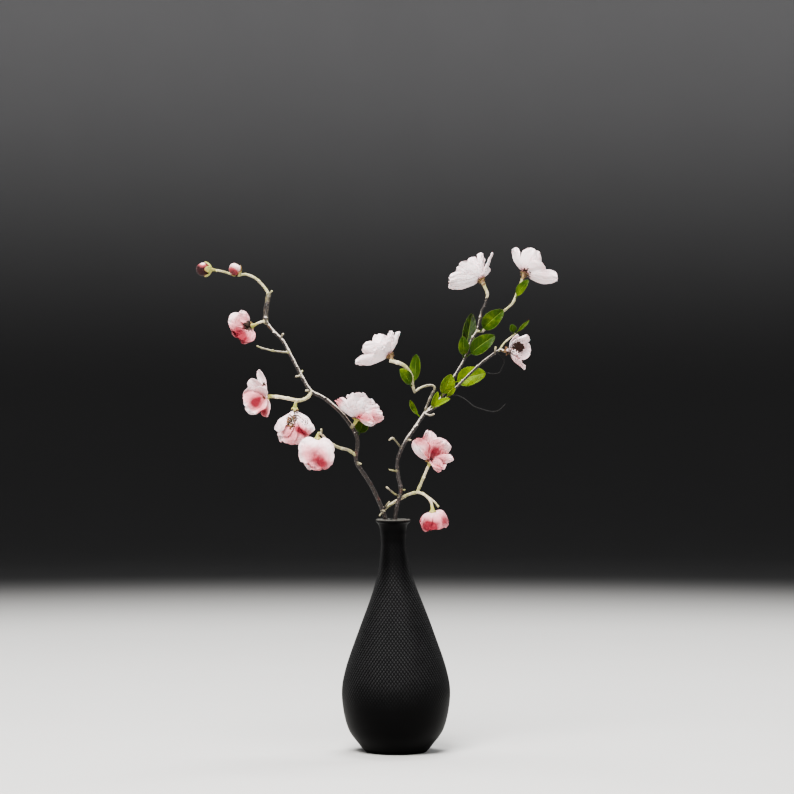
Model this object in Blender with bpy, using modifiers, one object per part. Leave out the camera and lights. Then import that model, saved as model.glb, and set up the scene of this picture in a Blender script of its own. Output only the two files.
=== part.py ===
"""A black bottle vase of water that holds two flowering branches.

Lengths below are millimetres and are turned into metres where a mesh is made.
The origin is the middle of the vase's foot, +Z is up and -Y is the front.
"""

import math

import bmesh
import bpy
from mathutils import Matrix, Vector

MM = 0.001
GAP = 0.3
FRONT = Vector((0, -1, 0))
COLLECTION = "vase_of_flowers"
SHARP_CORNER = math.radians(40)

# Vase: outer radius and height, from the lip down to the foot.
VASE_OUTLINE = (
    (14.9, 198.6), (13.3, 193.5), (11.3, 188.0), (11.2, 174.0), (16.6, 145.0), (30.5, 107.0),
    (42.6, 72.0), (46.4, 48.0), (41.5, 21.0), (29.5, 3.6),
)
VASE_HEIGHT = 200.0
FOOT_RADIUS = 26.4
WALL = 2.8
LIP_INNER_RADIUS = 12.6
FLOOR = 5.0
FLOOR_ROUND = 10.5
VASE_SIDES = 28
WATER_LEVEL = 112.0
# The neck leans to the left: how far at the lip, and the height where the lean starts.
NECK_LEAN = 2.6
LEAN_START = 114.0

# Thickness of petals, sepals and leaves.
PETAL = 0.7
SEPAL = 0.7
LEAF = 0.8

# Each limb: radius at its start, radius at its end, sides, and its route.
LEFT_LIMBS = {
    "trunk": (2.1, 1.35, 8, (
        (21, 3, 5.5), (21, 3, 20), (19, 3, 60), (14, 3, 110), (7, 3.2, 150), (-1, 2.8, 178), (-9, 2.2, 200),
        (-14, 1, 213.5), (-22.5, -3, 231), (-32.5, -8, 246.5), (-34.5, -10, 254), (-33, -12, 262),
        (-34, -14, 272.5), (-41, -17, 284), (-49.5, -19, 294), (-61.5, -20, 304), (-72.5, -20, 310),
        (-79.5, -18, 320.5), (-89, -14, 338.5), (-97, -10, 353), (-104, -7, 360), (-112, -4, 369.5))),
    "crown": (1.9, 2.2, 8, ((-111, -5, 367.5), (-112, -4, 371.5), (-111.5, -1, 381.5), (-109.5, 2, 394))),
    "arc_twig": (1.3, 0.95, 6, (
        (-109.5, 2, 393), (-112, 3, 397.5), (-116, 4, 402.5), (-121.5, 4, 407.5), (-129.5, 3, 410.6),
        (-137.5, 2, 409.8), (-149.5, -1, 413), (-157.2, -3, 414.3))),
    "arc_bud_stalk": (1.0, 1.0, 4, ((-134, 2.4, 410), (-135, -1.8, 411.6))),
    "upper_stalk": (1.1, 1.1, 6, ((-111.5, -4, 370), (-117, -5.4, 369), (-121.5, -6, 366.6))),
    "middle_shoot": (1.6, 1.5, 6, (
        (-72.5, -20, 310), (-74, -20.5, 306), (-78.5, -21, 303), (-83.5, -21.5, 302), (-91.5, -22, 303.5),
        (-100.5, -22.5, 305), (-108.5, -23, 305.5))),
    "hanging_stalk": (1.4, 1.3, 6, ((-85, -21.5, 302), (-86, -21.5, 297.6))),
    "low_shoot": (1.4, 1.0, 6, (
        (-35, -10.5, 255.5), (-41, -13, 259.5), (-48, -18, 261.5), (-54, -24, 264.5), (-59, -30, 268.5),
        (-63, -34, 273), (-65.4, -35.8, 274.4), (-66.4, -36.6, 272.8))),
    "knee_stalk": (1.2, 1.1, 6, ((-38, -15.6, 279), (-34.6, -21.5, 283))),
    "spray": (1.5, 1.2, 6, (
        (-11.5, 1.6, 207), (-7, 3, 211), (-3.5, 3.4, 213), (1.5, 3.6, 216), (6, 2.4, 218.5), (10.5, -1, 221),
        (18, -6, 223), (24, -10, 221.5), (29.5, -13, 216), (31.2, -14, 209.8))),
    "spray_stalk": (1.3, 1.2, 6, ((18, -6, 223), (22.5, -9, 233.5), (26, -11, 242), (28.6, -12.2, 247.6))),
    "spray_pedicel": (0.9, 0.9, 6, ((26, -11, 220.5), (33, -11, 215), (36.5, -12, 210.6))),
    "bare_twig": (0.85, 0.7, 4, ((-91, -13, 343), (-102.5, -15, 344), (-112, -18, 346), (-119, -21, 348.5))),
    "nub_crown": (1.0, 0.8, 4, ((-109.5, 2, 393.5), (-106.4, 0, 396.4))),
    "nub_high": (0.9, 0.8, 4, ((-99, -9, 355), (-96.4, -12, 359.4))),
    "nub_bend": (0.9, 0.8, 4, ((-81, -17.5, 323), (-85.8, -20, 322.4))),
    "nub_bend_front": (0.9, 0.8, 4, ((-82, -17.5, 325), (-80, -13.6, 327.4))),
    "nub_fork": (1.0, 0.8, 4, ((-73, -20, 310), (-77.4, -22, 310.4))),
    "nub_knee": (1.0, 0.8, 4, ((-33.5, -9, 249), (-29.6, -11, 247.4))),
    "nub_mouth": (0.9, 0.7, 4, ((-11.5, 1.6, 206.4), (-14.4, -1.5, 202.6))),
    "nub_spray": (0.8, 0.7, 4, ((-10.8, 1.6, 208.6), (-7.6, -0.6, 212.6), (-5.4, -2, 215.2))),
    "nub_low": (1.0, 0.8, 4, ((-63, -34, 273), (-63.4, -35.6, 278))),
}
RIGHT_LIMBS = {
    "trunk": (1.9, 1.5, 8, (
        (-19, -7, 5.5), (-19, -7, 20), (-17, -7, 60), (-13, -6, 110), (-8, -5, 150), (-3.5, -4.2, 178),
        (-1, -3.8, 200), (1, -3, 212), (3.5, -2, 220.5), (4, -1, 227.5), (2, 1, 236), (1, 3, 247),
        (3, 5, 256), (8, 7, 266), (15.5, 10, 277), (22, 13, 286.5), (25, 14, 291))),
    "near_limb": (1.1, 1.0, 6, (
        (24.5, 14, 290), (27, 15, 298), (30.5, 15, 306), (33.5, 14, 312), (31, 13, 315), (24, 9, 314),
        (19, 6, 311.5), (15.5, 4, 308.5))),
    "near_tip": (1.2, 1.7, 6, (
        (16.2, 4.4, 309), (15, 2, 312.5), (14, 0, 318.5), (12.5, -2, 325), (7.5, -4, 331.5), (1, -6, 334.6),
        (-5.6, -7, 336.2))),
    "near_stalk": (1.1, 1.0, 4, ((-3, -6.6, 335.8), (-3.6, -7, 338.6))),
    "far_limb": (1.25, 1.05, 6, (
        (25, 14, 290.5), (30.5, 16, 296), (36.5, 18, 301), (42, 20, 309), (47, 22, 316.5), (52.5, 24, 325.5),
        (59.5, 26, 337.5), (62.5, 27, 346), (66.5, 28, 356), (70.5, 29, 362.5), (73, 31, 373),
        (74.5, 33, 379.5), (77.5, 34, 386), (79.5, 35, 392.5))),
    "far_tip": (1.2, 1.6, 6, ((79, 34.8, 391), (79.8, 35, 394.6), (77.4, 35, 401), (75.8, 35, 404.8))),
    "far_twig": (0.95, 1.1, 6, (
        (70.2, 29, 362), (75, 28, 362.5), (81.5, 26, 367), (90, 23, 376.5), (96, 21, 381.5),
        (101.5, 19, 387), (105.4, 18, 397), (110.4, 17, 409.4))),
    "low_limb": (1.2, 1.0, 6, (
        (24.5, 14, 290), (35.5, 11.5, 297), (43.5, 10, 304), (51, 8.5, 312), (64, 5, 325), (73, 2, 333.5),
        (80.5, -1, 339.5), (87, -3, 344), (90, -4, 345.5), (93, -5, 344.2))),
    "low_twig": (0.85, 0.8, 6, ((88.5, -3.6, 344.8), (92.5, 1, 350.6), (96, 5, 354), (103.4, 7, 360))),
    "tendril_high": (0.55, 0.45, 4, (
        (86.5, -3, 343.6), (90.5, 1.6, 340), (93.2, 4, 336), (91.5, 5, 330.5), (89, 5.6, 326),
        (83.5, 7, 325), (78, 10, 326))),
    "tendril_low": (0.55, 0.45, 4, (
        (46, 9.6, 307), (54, 6, 306), (61, 2, 302), (67, -2, 297), (74, -4, 294.5), (82, -5, 292.5),
        (88, -6, 293.5), (94, -7, 299))),
    "nub_high": (0.8, 0.9, 4, ((5, 6, 260), (0.5, 3, 266), (-3, 0, 269.5), (-6, -2, 267.6))),
    "nub_middle": (0.8, 0.7, 4, ((1.5, 2, 241), (-2.5, 0, 241.6), (-6.2, -2, 242.6))),
    "nub_low": (0.8, 0.9, 4, ((3, -2, 219.6), (-1, -5, 221.6), (-5, -8, 225), (-8.4, -10, 228))),
    "nub_low_right": (0.8, 0.8, 4, ((4, -1.4, 225.4), (7.8, 2, 224.8))),
    "nub_fork": (0.9, 0.9, 4, ((25, 13.6, 290), (30, 9, 289), (33, 7, 290.4))),
    "nub_bark": (0.8, 0.7, 4, ((9, 7.4, 267.6), (13.2, 6, 267.8))),
    "nub_tip": (0.9, 0.9, 4, ((84.5, -2.4, 342.2), (85.8, -3.6, 348.2))),
}
LIMBS = {"left": LEFT_LIMBS, "right": RIGHT_LIMBS}
BARK_SWELL = 0.12
BARK_SWELL_TURN = 2.4

# Each open bloom: its branch and stalk, the way it faces, how far its petals bulge, and its petals as
# (tip from the stalk's end, width).
BLOOMS = {
    "left_upper": ("left", "upper_stalk", (-0.9, 0.2, -0.25), 0.2, (
        ((-14.5, -5, 12.5), 18), ((-22, -6, 4), 20), ((-20.5, -4, -6.5), 17), ((-12, -8, -15.5), 18),
        ((-3.5, 0, -14), 14), ((-11, 10, 2), 16))),
    "left_outer": ("left", "middle_shoot", (-0.55, -0.8, -0.15), 0.14, (
        ((-8.5, -1, 23), 8), ((-16.5, -4, 14), 13), ((-21.5, -9, -1.5), 20), ((-14, -11, -13.5), 18),
        ((-1.5, -7, -17.5), 12), ((-9, -12, 8), 15))),
    "left_hanging": ("left", "hanging_stalk", (-0.12, 0.2, -0.97), 0.2, (
        ((-17, -2, -21), 17), ((-10.5, -5, -31.5), 17), ((0.5, -3, -33.5), 18), ((8.5, -1, -30), 16),
        ((14.5, 1, -21), 16), ((-2, 12, -29), 18))),
    "left_drooping": ("left", "low_shoot", (-0.05, 0.1, -0.99), 0.26, (
        ((-12.5, -2, -23), 17), ((-5, -8, -29.5), 18), ((4.5, -6, -30), 17), ((11, 1, -23), 17),
        ((-3, 9, -27), 18), ((7, -6, -19), 14))),
    "left_knee": ("left", "knee_stalk", (0.3, 0.05, 0.95), 0.12, (
        ((-17.5, -7, 19), 11), ((-6, 6, 25), 18), ((5, 10, 26), 20), ((15.5, 5, 20.5), 20),
        ((24, -3, 8.5), 18), ((16, -11, -2), 17), ((4, -10, 12), 20))),
    "right_near": ("right", "near_stalk", (-0.5, 0.55, 0.65), 0.1, (
        ((-32.5, 2, -4), 17), ((-26, -2, 9.5), 18), ((-13, 10, 20.5), 19), ((-0.5, 9, 23), 13),
        ((6.5, 2, 23), 7), ((-16, -11, 3), 17), ((-6, -8, 12), 14))),
    "right_top": ("right", "far_tip", (-0.45, 0.55, 0.7), 0.1, (
        ((-31, 2, -5), 13), ((-31, -3, 2.5), 16), ((-22, -4, 15), 19), ((-9.5, 9, 22.5), 16),
        ((-1.5, 8, 26.5), 11), ((8, 3, 27), 6), ((6.5, 8, 12), 11))),
    "right_far": ("right", "far_twig", (0.3, 0.5, 0.8), 0.12, (
        ((-10, 0, 25), 8), ((-5.5, 6, 25), 9), ((1.5, 12, 24), 14), ((12, 2, 23), 25), ((30, 0, -2.5), 22),
        ((18, -6, 9), 17))),
    "right_low": ("right", "low_limb", (0.85, -0.45, 0.1), 0.16, (
        ((20.5, -5, 13), 16), ((12, 0, 14.5), 13), ((23, 2, 1.5), 17), ((18, -7, -15), 13),
        ((13, -12, -4), 12), ((12, 10, -6), 14))),
    "spray_open": ("left", "spray_stalk", (0.2, -0.35, 0.9), 0.12, (
        ((-14.5, -4, 20), 20), ((0, 8, 29), 17), ((13.5, 5, 21), 22), ((20.5, -3, 5.5), 13),
        ((12.5, -9, -4), 14), ((8.5, -9, 13), 16), ((-4, -9, 14), 16))),
    "spray_drooping": ("left", "spray", (0.1, 0.2, -0.97), 0.32, (
        ((-8.5, -3, -17), 17), ((0, -9, -18), 18), ((9.5, -4, -16.5), 17), ((15, 3, -11.5), 17),
        ((-1, 9, -15), 17))),
}
# Each bud: its branch and stalk, the way it points, and half its length and width.
BUDS = {
    "bud_tip": ("left", "arc_twig", (-8.2, -0.6, 0.3), 6.4, 6.0),
    "bud_arc": ("left", "arc_bud_stalk", (-4.0, -7.0, 3.6), 5.4, 5.2),
}
BUD_SIDES = 12
BUD_RINGS = 7
BUD_FOLD = 0.09
BUD_TWIST = 0.9
BUD_CUP_REACH = 62
BUD_LOBE_REACH = 34
BUD_CUP_CLEAR = 0.65

# The little cup under a bloom: (radius, height) from its middle out to a sepal's tip, with notches between.
CUP_OUTLINE = ((0, 0), (2.3, 1.5), (4.8, 0.5))
SEPALS = 5
SEPAL_NOTCH = 0.22
# The knot that the petals grow from, the petals and the stamens.
KNOT_RADIUS = 1.65
KNOT_HEIGHT = 2.5
PETAL_ROOT_HEIGHT = 3.4
PETAL_ROOT_RADIUS = 1.0
PETAL_LAYER = 0.6
PETAL_ROWS = 3
NARROW_PETAL = 17
PETAL_CLAW = 0.32
PETAL_RISE = 0.8
PETAL_WIDEST = 0.6
PETAL_CUP = 0.3
PETAL_NARROWING = 0.72
PETAL_TIP_ROUND = 0.15
PETAL_TWIST = 12
PETAL_WAVE = 0.035
STAMENS = 3
STAMEN_LENGTH = 8.0
STAMEN_SPREAD = 0.42
STAMEN_RADIUS = 0.35
ANTHER_RADIUS = 0.75
# Linear colour of each bloom's petals, from nearly white to rose.
PINK = {
    "left_upper": (0.80, 0.45, 0.48), "left_outer": (0.80, 0.50, 0.52), "left_hanging": (0.84, 0.60, 0.60),
    "left_drooping": (0.84, 0.60, 0.60), "left_knee": (0.86, 0.62, 0.66), "right_near": (0.90, 0.78, 0.80),
    "right_top": (0.90, 0.80, 0.82), "right_far": (0.90, 0.78, 0.80), "right_low": (0.78, 0.70, 0.72),
    "spray_open": (0.80, 0.45, 0.48), "spray_drooping": (0.80, 0.42, 0.46),
}

# Each leaf: branch and limb it grows from, its foot, its tip, width, turn about its rib and arch.
LEAVES = {
    "leaf_near_left": ("right", "near_tip", (13.6, 0.4, 314), (3.5, -7, 329), 10, 25, 0.1),
    "leaf_near_right": ("right", "near_tip", (15, 3.4, 315), (17.6, 6, 341.5), 10, -20, -0.05),
    "leaf_trunk": ("right", "trunk", (20.5, 11, 288), (12, 6, 302), 5.5, 35, -0.14),
    "leaf_fork_upright": ("right", "far_limb", (30, 12.4, 295.4), (36, 9, 309.5), 5.5, 25, 0.08),
    "leaf_fork_low": ("right", "low_limb", (31.5, 9.4, 295.6), (46.5, 2, 303.5), 6, -30, 0.1),
    "leaf_limb_sliver": ("right", "low_limb", (43, 7.4, 305), (51, 3, 313), 4, 20, 0.08),
    "leaf_limb_left": ("right", "far_limb", (38.6, 16, 306), (47.5, 12, 324.5), 12.5, 20, 0.1),
    "leaf_limb_right": ("right", "far_limb", (49.4, 21.4, 316.6), (77.5, 15, 325.6), 17, -18, 0.1),
    "leaf_tall": ("right", "far_limb", (60, 30, 339), (66.5, 41, 378), 11.5, 10, -0.04),
    "leaf_node_left": ("right", "far_limb", (57.6, 25, 339.6), (57.8, 18, 357.5), 9.5, 12, 0.12),
    "leaf_node_right": ("right", "far_limb", (62, 24.6, 340), (85.5, 17, 358), 14.5, -14, 0.08),
    "leaf_twig": ("right", "far_twig", (73, 26, 361.8), (93, 15, 380), 14, -10, 0.07),
    "leaf_bract": ("right", "far_twig", (104.4, 15.4, 390), (114.6, 11.6, 406), 8, -24, 0.1),
    "leaf_end": ("right", "low_twig", (105, 7, 361.4), (115, 5, 371), 3, 0, 0.06),
    "leaf_end_side": ("right", "low_twig", (101.4, 5, 360), (99.6, 3, 367.6), 6, 10, 0.1),
    "leaf_knee": ("left", "trunk", (-31.6, -12.4, 272.5), (-27.4, -12.6, 285.4), 11.5, 0, 0.05),
}
LEAF_FOLD = 0.34
LEAF_WAVE = 0.04
LEAF_STALK_HALF = 0.5
LEAF_STALK_END = 0.16
LEAF_ROWS = 6


def catmull_rom(points, steps):
    """Points on a smooth curve through the given ones, which it keeps."""
    ends = [2 * points[0] - points[1], *points, 2 * points[-1] - points[-2]]
    curve = []
    for i in range(1, len(ends) - 2):
        before, start, end, after = ends[i - 1:i + 3]
        for step in range(steps):
            t = step / steps
            curve.append(0.5 * (
                2 * start
                + (end - before) * t
                + (2 * before - 5 * start + 4 * end - after) * t * t
                + (3 * start - before - 3 * end + after) * t ** 3
            ))
    curve.append(points[-1].copy())
    return curve


def material(name, colour, roughness):
    """A plain finish for one kind of piece."""
    finish = bpy.data.materials.new(name)
    finish.use_nodes = True
    shader = finish.node_tree.nodes["Principled BSDF"]
    shader.inputs["Base Color"].default_value = (*colour, 1.0)
    shader.inputs["Roughness"].default_value = roughness
    finish.diffuse_color = (*colour, 1.0)
    return finish


def new_object(name, mesh, collection):
    """An object of its own that shows the mesh."""
    piece = bpy.data.objects.new(name, mesh)
    collection.objects.link(piece)
    return piece


def evaluated_mesh(piece):
    """The mesh that an object shows, with its modifiers, in world space."""
    bpy.context.view_layer.update()
    graph = bpy.context.evaluated_depsgraph_get()
    mesh = bpy.data.meshes.new_from_object(piece.evaluated_get(graph), depsgraph=graph)
    mesh.transform(piece.matrix_world)
    return mesh


def settle(piece):
    """Applies the modifiers of a piece and drops them."""
    mesh = evaluated_mesh(piece)
    piece.modifiers.clear()
    piece.data = mesh
    piece.matrix_world = Matrix()


def smooth(piece):
    """Shades a round piece smooth, with its corners kept."""
    piece.data.shade_smooth()
    piece.data.set_sharp_from_angle(angle=SHARP_CORNER)


def keep_skin(mesh):
    """Fills any hollow that joining sealed and drops any scrap: only the largest shell stays."""
    shape = bmesh.new()
    shape.from_mesh(mesh)
    left = set(shape.faces)
    shells = []
    while left:
        shell = [left.pop()]
        for face in shell:
            for edge in face.edges:
                if len(edge.link_faces) == 2:
                    near = [other for other in edge.link_faces if other in left]
                    left.difference_update(near)
                    shell.extend(near)
        shells.append(shell)
    shells.sort(key=len)
    for shell in shells[:-1]:
        bmesh.ops.delete(shape, geom=shell, context="FACES")
    loose = [vertex for vertex in shape.verts if not vertex.link_faces]
    bmesh.ops.delete(shape, geom=loose, context="VERTS")
    shape.to_mesh(mesh)
    shape.free()


def fuse(name, pieces, finish):
    """Joins overlapping pieces in one body by a Boolean union on a collection."""
    body, *others = pieces
    joined = bpy.data.collections.new("joined")
    for other in others:
        for home in other.users_collection:
            home.objects.unlink(other)
        joined.objects.link(other)
    join = body.modifiers.new("Join", "BOOLEAN")
    join.operation = "UNION"
    join.solver = "EXACT"
    join.operand_type = "COLLECTION"
    join.collection = joined
    settle(body)
    for other in others:
        bpy.data.objects.remove(other)
    bpy.data.collections.remove(joined)
    keep_skin(body.data)
    return finished(name, body, finish)


def finished(name, piece, finish):
    """Names a node and gives it its own material."""
    piece.name = name
    piece.data.name = name
    piece.data.materials.clear()
    piece.data.materials.append(finish)
    smooth(piece)
    return piece


def tube(name, radii, route, sides, parts):
    """A round stem along a route, as a mesh with welded caps."""
    points = [Vector(point) for point in route]
    curve = bpy.data.curves.new(name, "CURVE")
    curve.dimensions = "3D"
    curve.bevel_depth = MM
    curve.bevel_resolution = (sides - 4) // 2
    curve.use_fill_caps = True
    spline = curve.splines.new("POLY")
    spline.points.add(len(points) - 1)
    last = len(points) - 1
    for i, (target, point) in enumerate(zip(spline.points, points)):
        target.co = (*(point * MM), 1)
        swell = 1 + BARK_SWELL * math.sin(BARK_SWELL_TURN * i) * (0 < i < last)
        target.radius = (radii[0] + (radii[1] - radii[0]) * i / last) * swell
    guide = new_object(name, curve, parts)
    mesh = evaluated_mesh(guide)
    bpy.data.objects.remove(guide)
    weld(mesh)
    return new_object(name, mesh, parts)


def weld(mesh):
    """Merges points that lie on each other and turns the faces outward."""
    shape = bmesh.new()
    shape.from_mesh(mesh)
    bmesh.ops.remove_doubles(shape, verts=shape.verts, dist=0.00001)
    bmesh.ops.recalc_face_normals(shape, faces=shape.faces)
    shape.to_mesh(mesh)
    shape.free()


def ball(name, radius, centre, parts):
    """A small faceted ball."""
    mesh = bpy.data.meshes.new(name)
    shape = bmesh.new()
    bmesh.ops.create_icosphere(shape, subdivisions=1, radius=radius * MM)
    bmesh.ops.translate(shape, verts=shape.verts, vec=centre * MM)
    shape.to_mesh(mesh)
    shape.free()
    return new_object(name, mesh, parts)


def blade(name, place, rows, columns, thickness, parts, round_it=False):
    """A thin blade: a grid moved to place(along, across), split in triangles and given its thickness."""
    mesh = bpy.data.meshes.new(name)
    shape = bmesh.new()
    bmesh.ops.create_grid(shape, x_segments=columns, y_segments=rows, size=1.0)
    for vertex in shape.verts:
        vertex.co = place((vertex.co.y + 1) / 2, vertex.co.x) * MM
    if round_it:
        bmesh.ops.remove_doubles(shape, verts=shape.verts, dist=0.00001)
    bmesh.ops.triangulate(shape, faces=shape.faces, quad_method="FIXED")
    shape.to_mesh(mesh)
    shape.free()
    piece = new_object(name, mesh, parts)
    wall = piece.modifiers.new("Thickness", "SOLIDIFY")
    wall.thickness = thickness * MM
    wall.offset = 0
    settle(piece)
    return piece


def screw(name, profile, sides, parts):
    """A turned body from (radius, height) points that run down its outer side."""
    mesh = bpy.data.meshes.new(name)
    points = [(radius * MM, 0, height * MM) for radius, height in profile]
    mesh.from_pydata(points, [(i, i + 1) for i in range(len(points) - 1)], [])
    piece = new_object(name, mesh, parts)
    turn = piece.modifiers.new("Turn", "SCREW")
    turn.steps = sides
    turn.render_steps = sides
    turn.use_merge_vertices = True
    turn.merge_threshold = 0.00001
    return piece


def offset_in(profile, distance):
    """The outline moved inwards by a distance, square to itself."""
    moved = []
    for i, (radius, height) in enumerate(profile):
        before = profile[max(i - 1, 0)]
        after = profile[min(i + 1, len(profile) - 1)]
        run = Vector((after[0] - before[0], after[1] - before[1])).normalized()
        moved.append((radius + run.y * distance, height - run.x * distance))
    return moved


def vase_outline():
    """The vase's outer side as a smooth curve, from lip to foot."""
    return [(p.x, p.y) for p in catmull_rom([Vector(point) for point in VASE_OUTLINE], 2)]


def hollow_outline():
    """The hollow's outline: down the inner wall from the mouth, then in along the floor."""
    wall = [point for point in offset_in(VASE_OUTLINE, WALL) if point[1] > FLOOR + FLOOR_ROUND]
    return [*wall[1:], (wall[-1][0] - FLOOR_ROUND, FLOOR), (0, FLOOR)]


def make_vase(parts):
    """The hollow vase, with a flared lip and a flat foot."""
    lip = [(LIP_INNER_RADIUS, VASE_HEIGHT - 0.5), (LIP_INNER_RADIUS + 0.7, VASE_HEIGHT),
           (VASE_OUTLINE[0][0] - 0.3, VASE_HEIGHT)]
    profile = [*reversed(hollow_outline()), *lip, *vase_outline(),
               (FOOT_RADIUS, 1.2), (FOOT_RADIUS - 0.4, 0), (0, 0)]
    vase = screw("vase", profile, VASE_SIDES, parts)
    settle(vase)
    for vertex in vase.data.vertices:
        share = max(0.0, (vertex.co.z / MM - LEAN_START) / (VASE_HEIGHT - LEAN_START))
        vertex.co.x -= NECK_LEAN * MM * share * share * (3 - 2 * share)
    finished("vase", vase, material("glazed_black_ceramic", (0.018, 0.018, 0.019), 0.5))


def make_water(parts, cutters):
    """The water in the vase, with a plain hole for each stem."""
    wall = offset_in(hollow_outline()[:-1], GAP)
    side = [point for point in wall if point[1] < WATER_LEVEL]
    above, below = wall[len(wall) - len(side) - 1], side[0]
    share = (WATER_LEVEL - below[1]) / (above[1] - below[1])
    brim = below[0] + (above[0] - below[0]) * share
    side[-1] = (side[-1][0], FLOOR + GAP)
    profile = [(0, WATER_LEVEL), (brim, WATER_LEVEL), *side, (0, FLOOR + GAP)]
    water = screw("water", profile, VASE_SIDES, parts)
    for limbs in LIMBS.values():
        radius, _, sides, route = limbs["trunk"]
        start = (route[0][0], route[0][1], FLOOR - 2)
        wide = radius * (1 + BARK_SWELL) + 2 * GAP
        hole = tube("hole", (wide, wide), (start, *route[1:6]), sides, cutters)
        hole.hide_render = True
        hole.display_type = "WIRE"
        cut = water.modifiers.new("Hole", "BOOLEAN")
        cut.operation = "DIFFERENCE"
        cut.object = hole
    finished("water", water, material("water", (0.75, 0.85, 0.87), 0.05))


def make_branch(name, limbs, colour, parts):
    """A woody branch with its side twigs and nubs, grown together."""
    pieces = [tube(limb, (start, end), route, sides, parts)
              for limb, (start, end, sides, route) in limbs.items()]
    return fuse(name, pieces, material(f"bark_{name}", colour, 0.75))


def stalk_of(side, limb):
    """The end of a stalk, its radius there and the way it points."""
    _, radius, _, route = LIMBS[side][limb]
    end = Vector(route[-1])
    return end, radius, (end - Vector(route[-2])).normalized()


def seat(end, radius, axis, way):
    """Where a bloom's cup starts on its axis, just clear of the end of its stalk."""
    slant = axis.cross(way).length if axis.dot(way) > 0 else 1.0
    return end + axis * (GAP + SEPAL / 2 + radius * slant)


def frame_of(axis):
    """Two directions square to an axis and to each other, the first one towards the front."""
    near = (FRONT - FRONT.dot(axis) * axis).normalized()
    return near, axis.cross(near)


def leaning(axis, spread, turn):
    """The direction that leans from an axis by spread, turned about it from the front."""
    near, over = frame_of(axis)
    return axis * math.cos(spread) + (near * math.cos(turn) + over * math.sin(turn)) * math.sin(spread)


def petal_place(root, tip, width, axis, bulge, phase):
    """One petal's surface: bulged away from the bloom's middle, cupped, waved and rounded at its tip."""
    chord = tip - root
    length = chord.length
    along = chord / length
    out = -(axis - axis.dot(along) * along).normalized()
    out = Matrix.Rotation(math.radians(PETAL_TWIST), 3, along) @ out
    across = along.cross(out)

    def place(u, v):
        if u <= PETAL_WIDEST:
            rise = (u / PETAL_WIDEST) ** PETAL_RISE
            spread = PETAL_CLAW + (1 - PETAL_CLAW) * math.sin(math.pi / 2 * rise)
        else:
            spread = math.sqrt(1 - PETAL_NARROWING * ((u - PETAL_WIDEST) / (1 - PETAL_WIDEST)) ** 2)
        half = width / 2 * spread
        back = PETAL_TIP_ROUND * v * v * u ** 3
        lift = bulge * length * math.sin(math.pi * u ** PETAL_RISE) - PETAL_CUP * half * v * v
        wave = PETAL_WAVE * length * u * u * math.sin(3 * v + phase)
        return root + along * (u - back) * length + across * (half * v) + out * (lift + wave)

    return place


def make_bloom(name, side, limb, axis, bulge, petals, finishes, parts):
    """An open bloom: its cup with sepals, and its petals and stamens round a knot."""
    end, radius, way = stalk_of(side, limb)
    foot = seat(end, radius, axis, way)
    make_cup(name, foot, axis, finishes["calyx"], parts)
    pieces = [ball("knot", KNOT_RADIUS, foot + axis * KNOT_HEIGHT, parts)]
    top = foot + axis * PETAL_ROOT_HEIGHT
    for i, (offset, width) in enumerate(petals):
        tip = end + Vector(offset)
        lean = (tip - top) - (tip - top).dot(axis) * axis
        root = top + lean.normalized() * PETAL_ROOT_RADIUS + axis * (PETAL_LAYER * (i % 2))
        place = petal_place(root, tip, width, axis, bulge, 2.1 * i)
        columns = 3 if width > NARROW_PETAL else 2
        pieces.append(blade("petal", place, PETAL_ROWS, columns, PETAL, parts))
    for i in range(STAMENS):
        aim = leaning(axis, STAMEN_SPREAD * (0.5 + 0.5 * (i % 2)), math.tau * i / STAMENS)
        route = (top - aim, top + aim * STAMEN_LENGTH)
        pieces.append(tube("stamen", (STAMEN_RADIUS, ANTHER_RADIUS), route, 4, parts))
    fuse(f"{name}_petals", pieces, finishes["petal"])


def make_cup(name, foot, axis, finish, parts):
    """The cup of a bloom: a shallow dish whose rim runs out in pointed sepals that bend back."""
    across, over = frame_of(axis)

    def place(u, v):
        row = round(u * (len(CUP_OUTLINE) - 1))
        column = round((v + 1) * SEPALS)
        radius, height = CUP_OUTLINE[row]
        if row == len(CUP_OUTLINE) - 1 and column % 2:
            rim = CUP_OUTLINE[row - 1]
            radius = rim[0] + (radius - rim[0]) * SEPAL_NOTCH
            height = rim[1] + (height - rim[1]) * SEPAL_NOTCH
        turn = math.pi * column / SEPALS
        return foot + axis * height + (across * math.cos(turn) + over * math.sin(turn)) * radius

    cup = blade("cup", place, len(CUP_OUTLINE) - 1, 2 * SEPALS, SEPAL, parts, round_it=True)
    finished(f"{name}_calyx", cup, finish)


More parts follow.
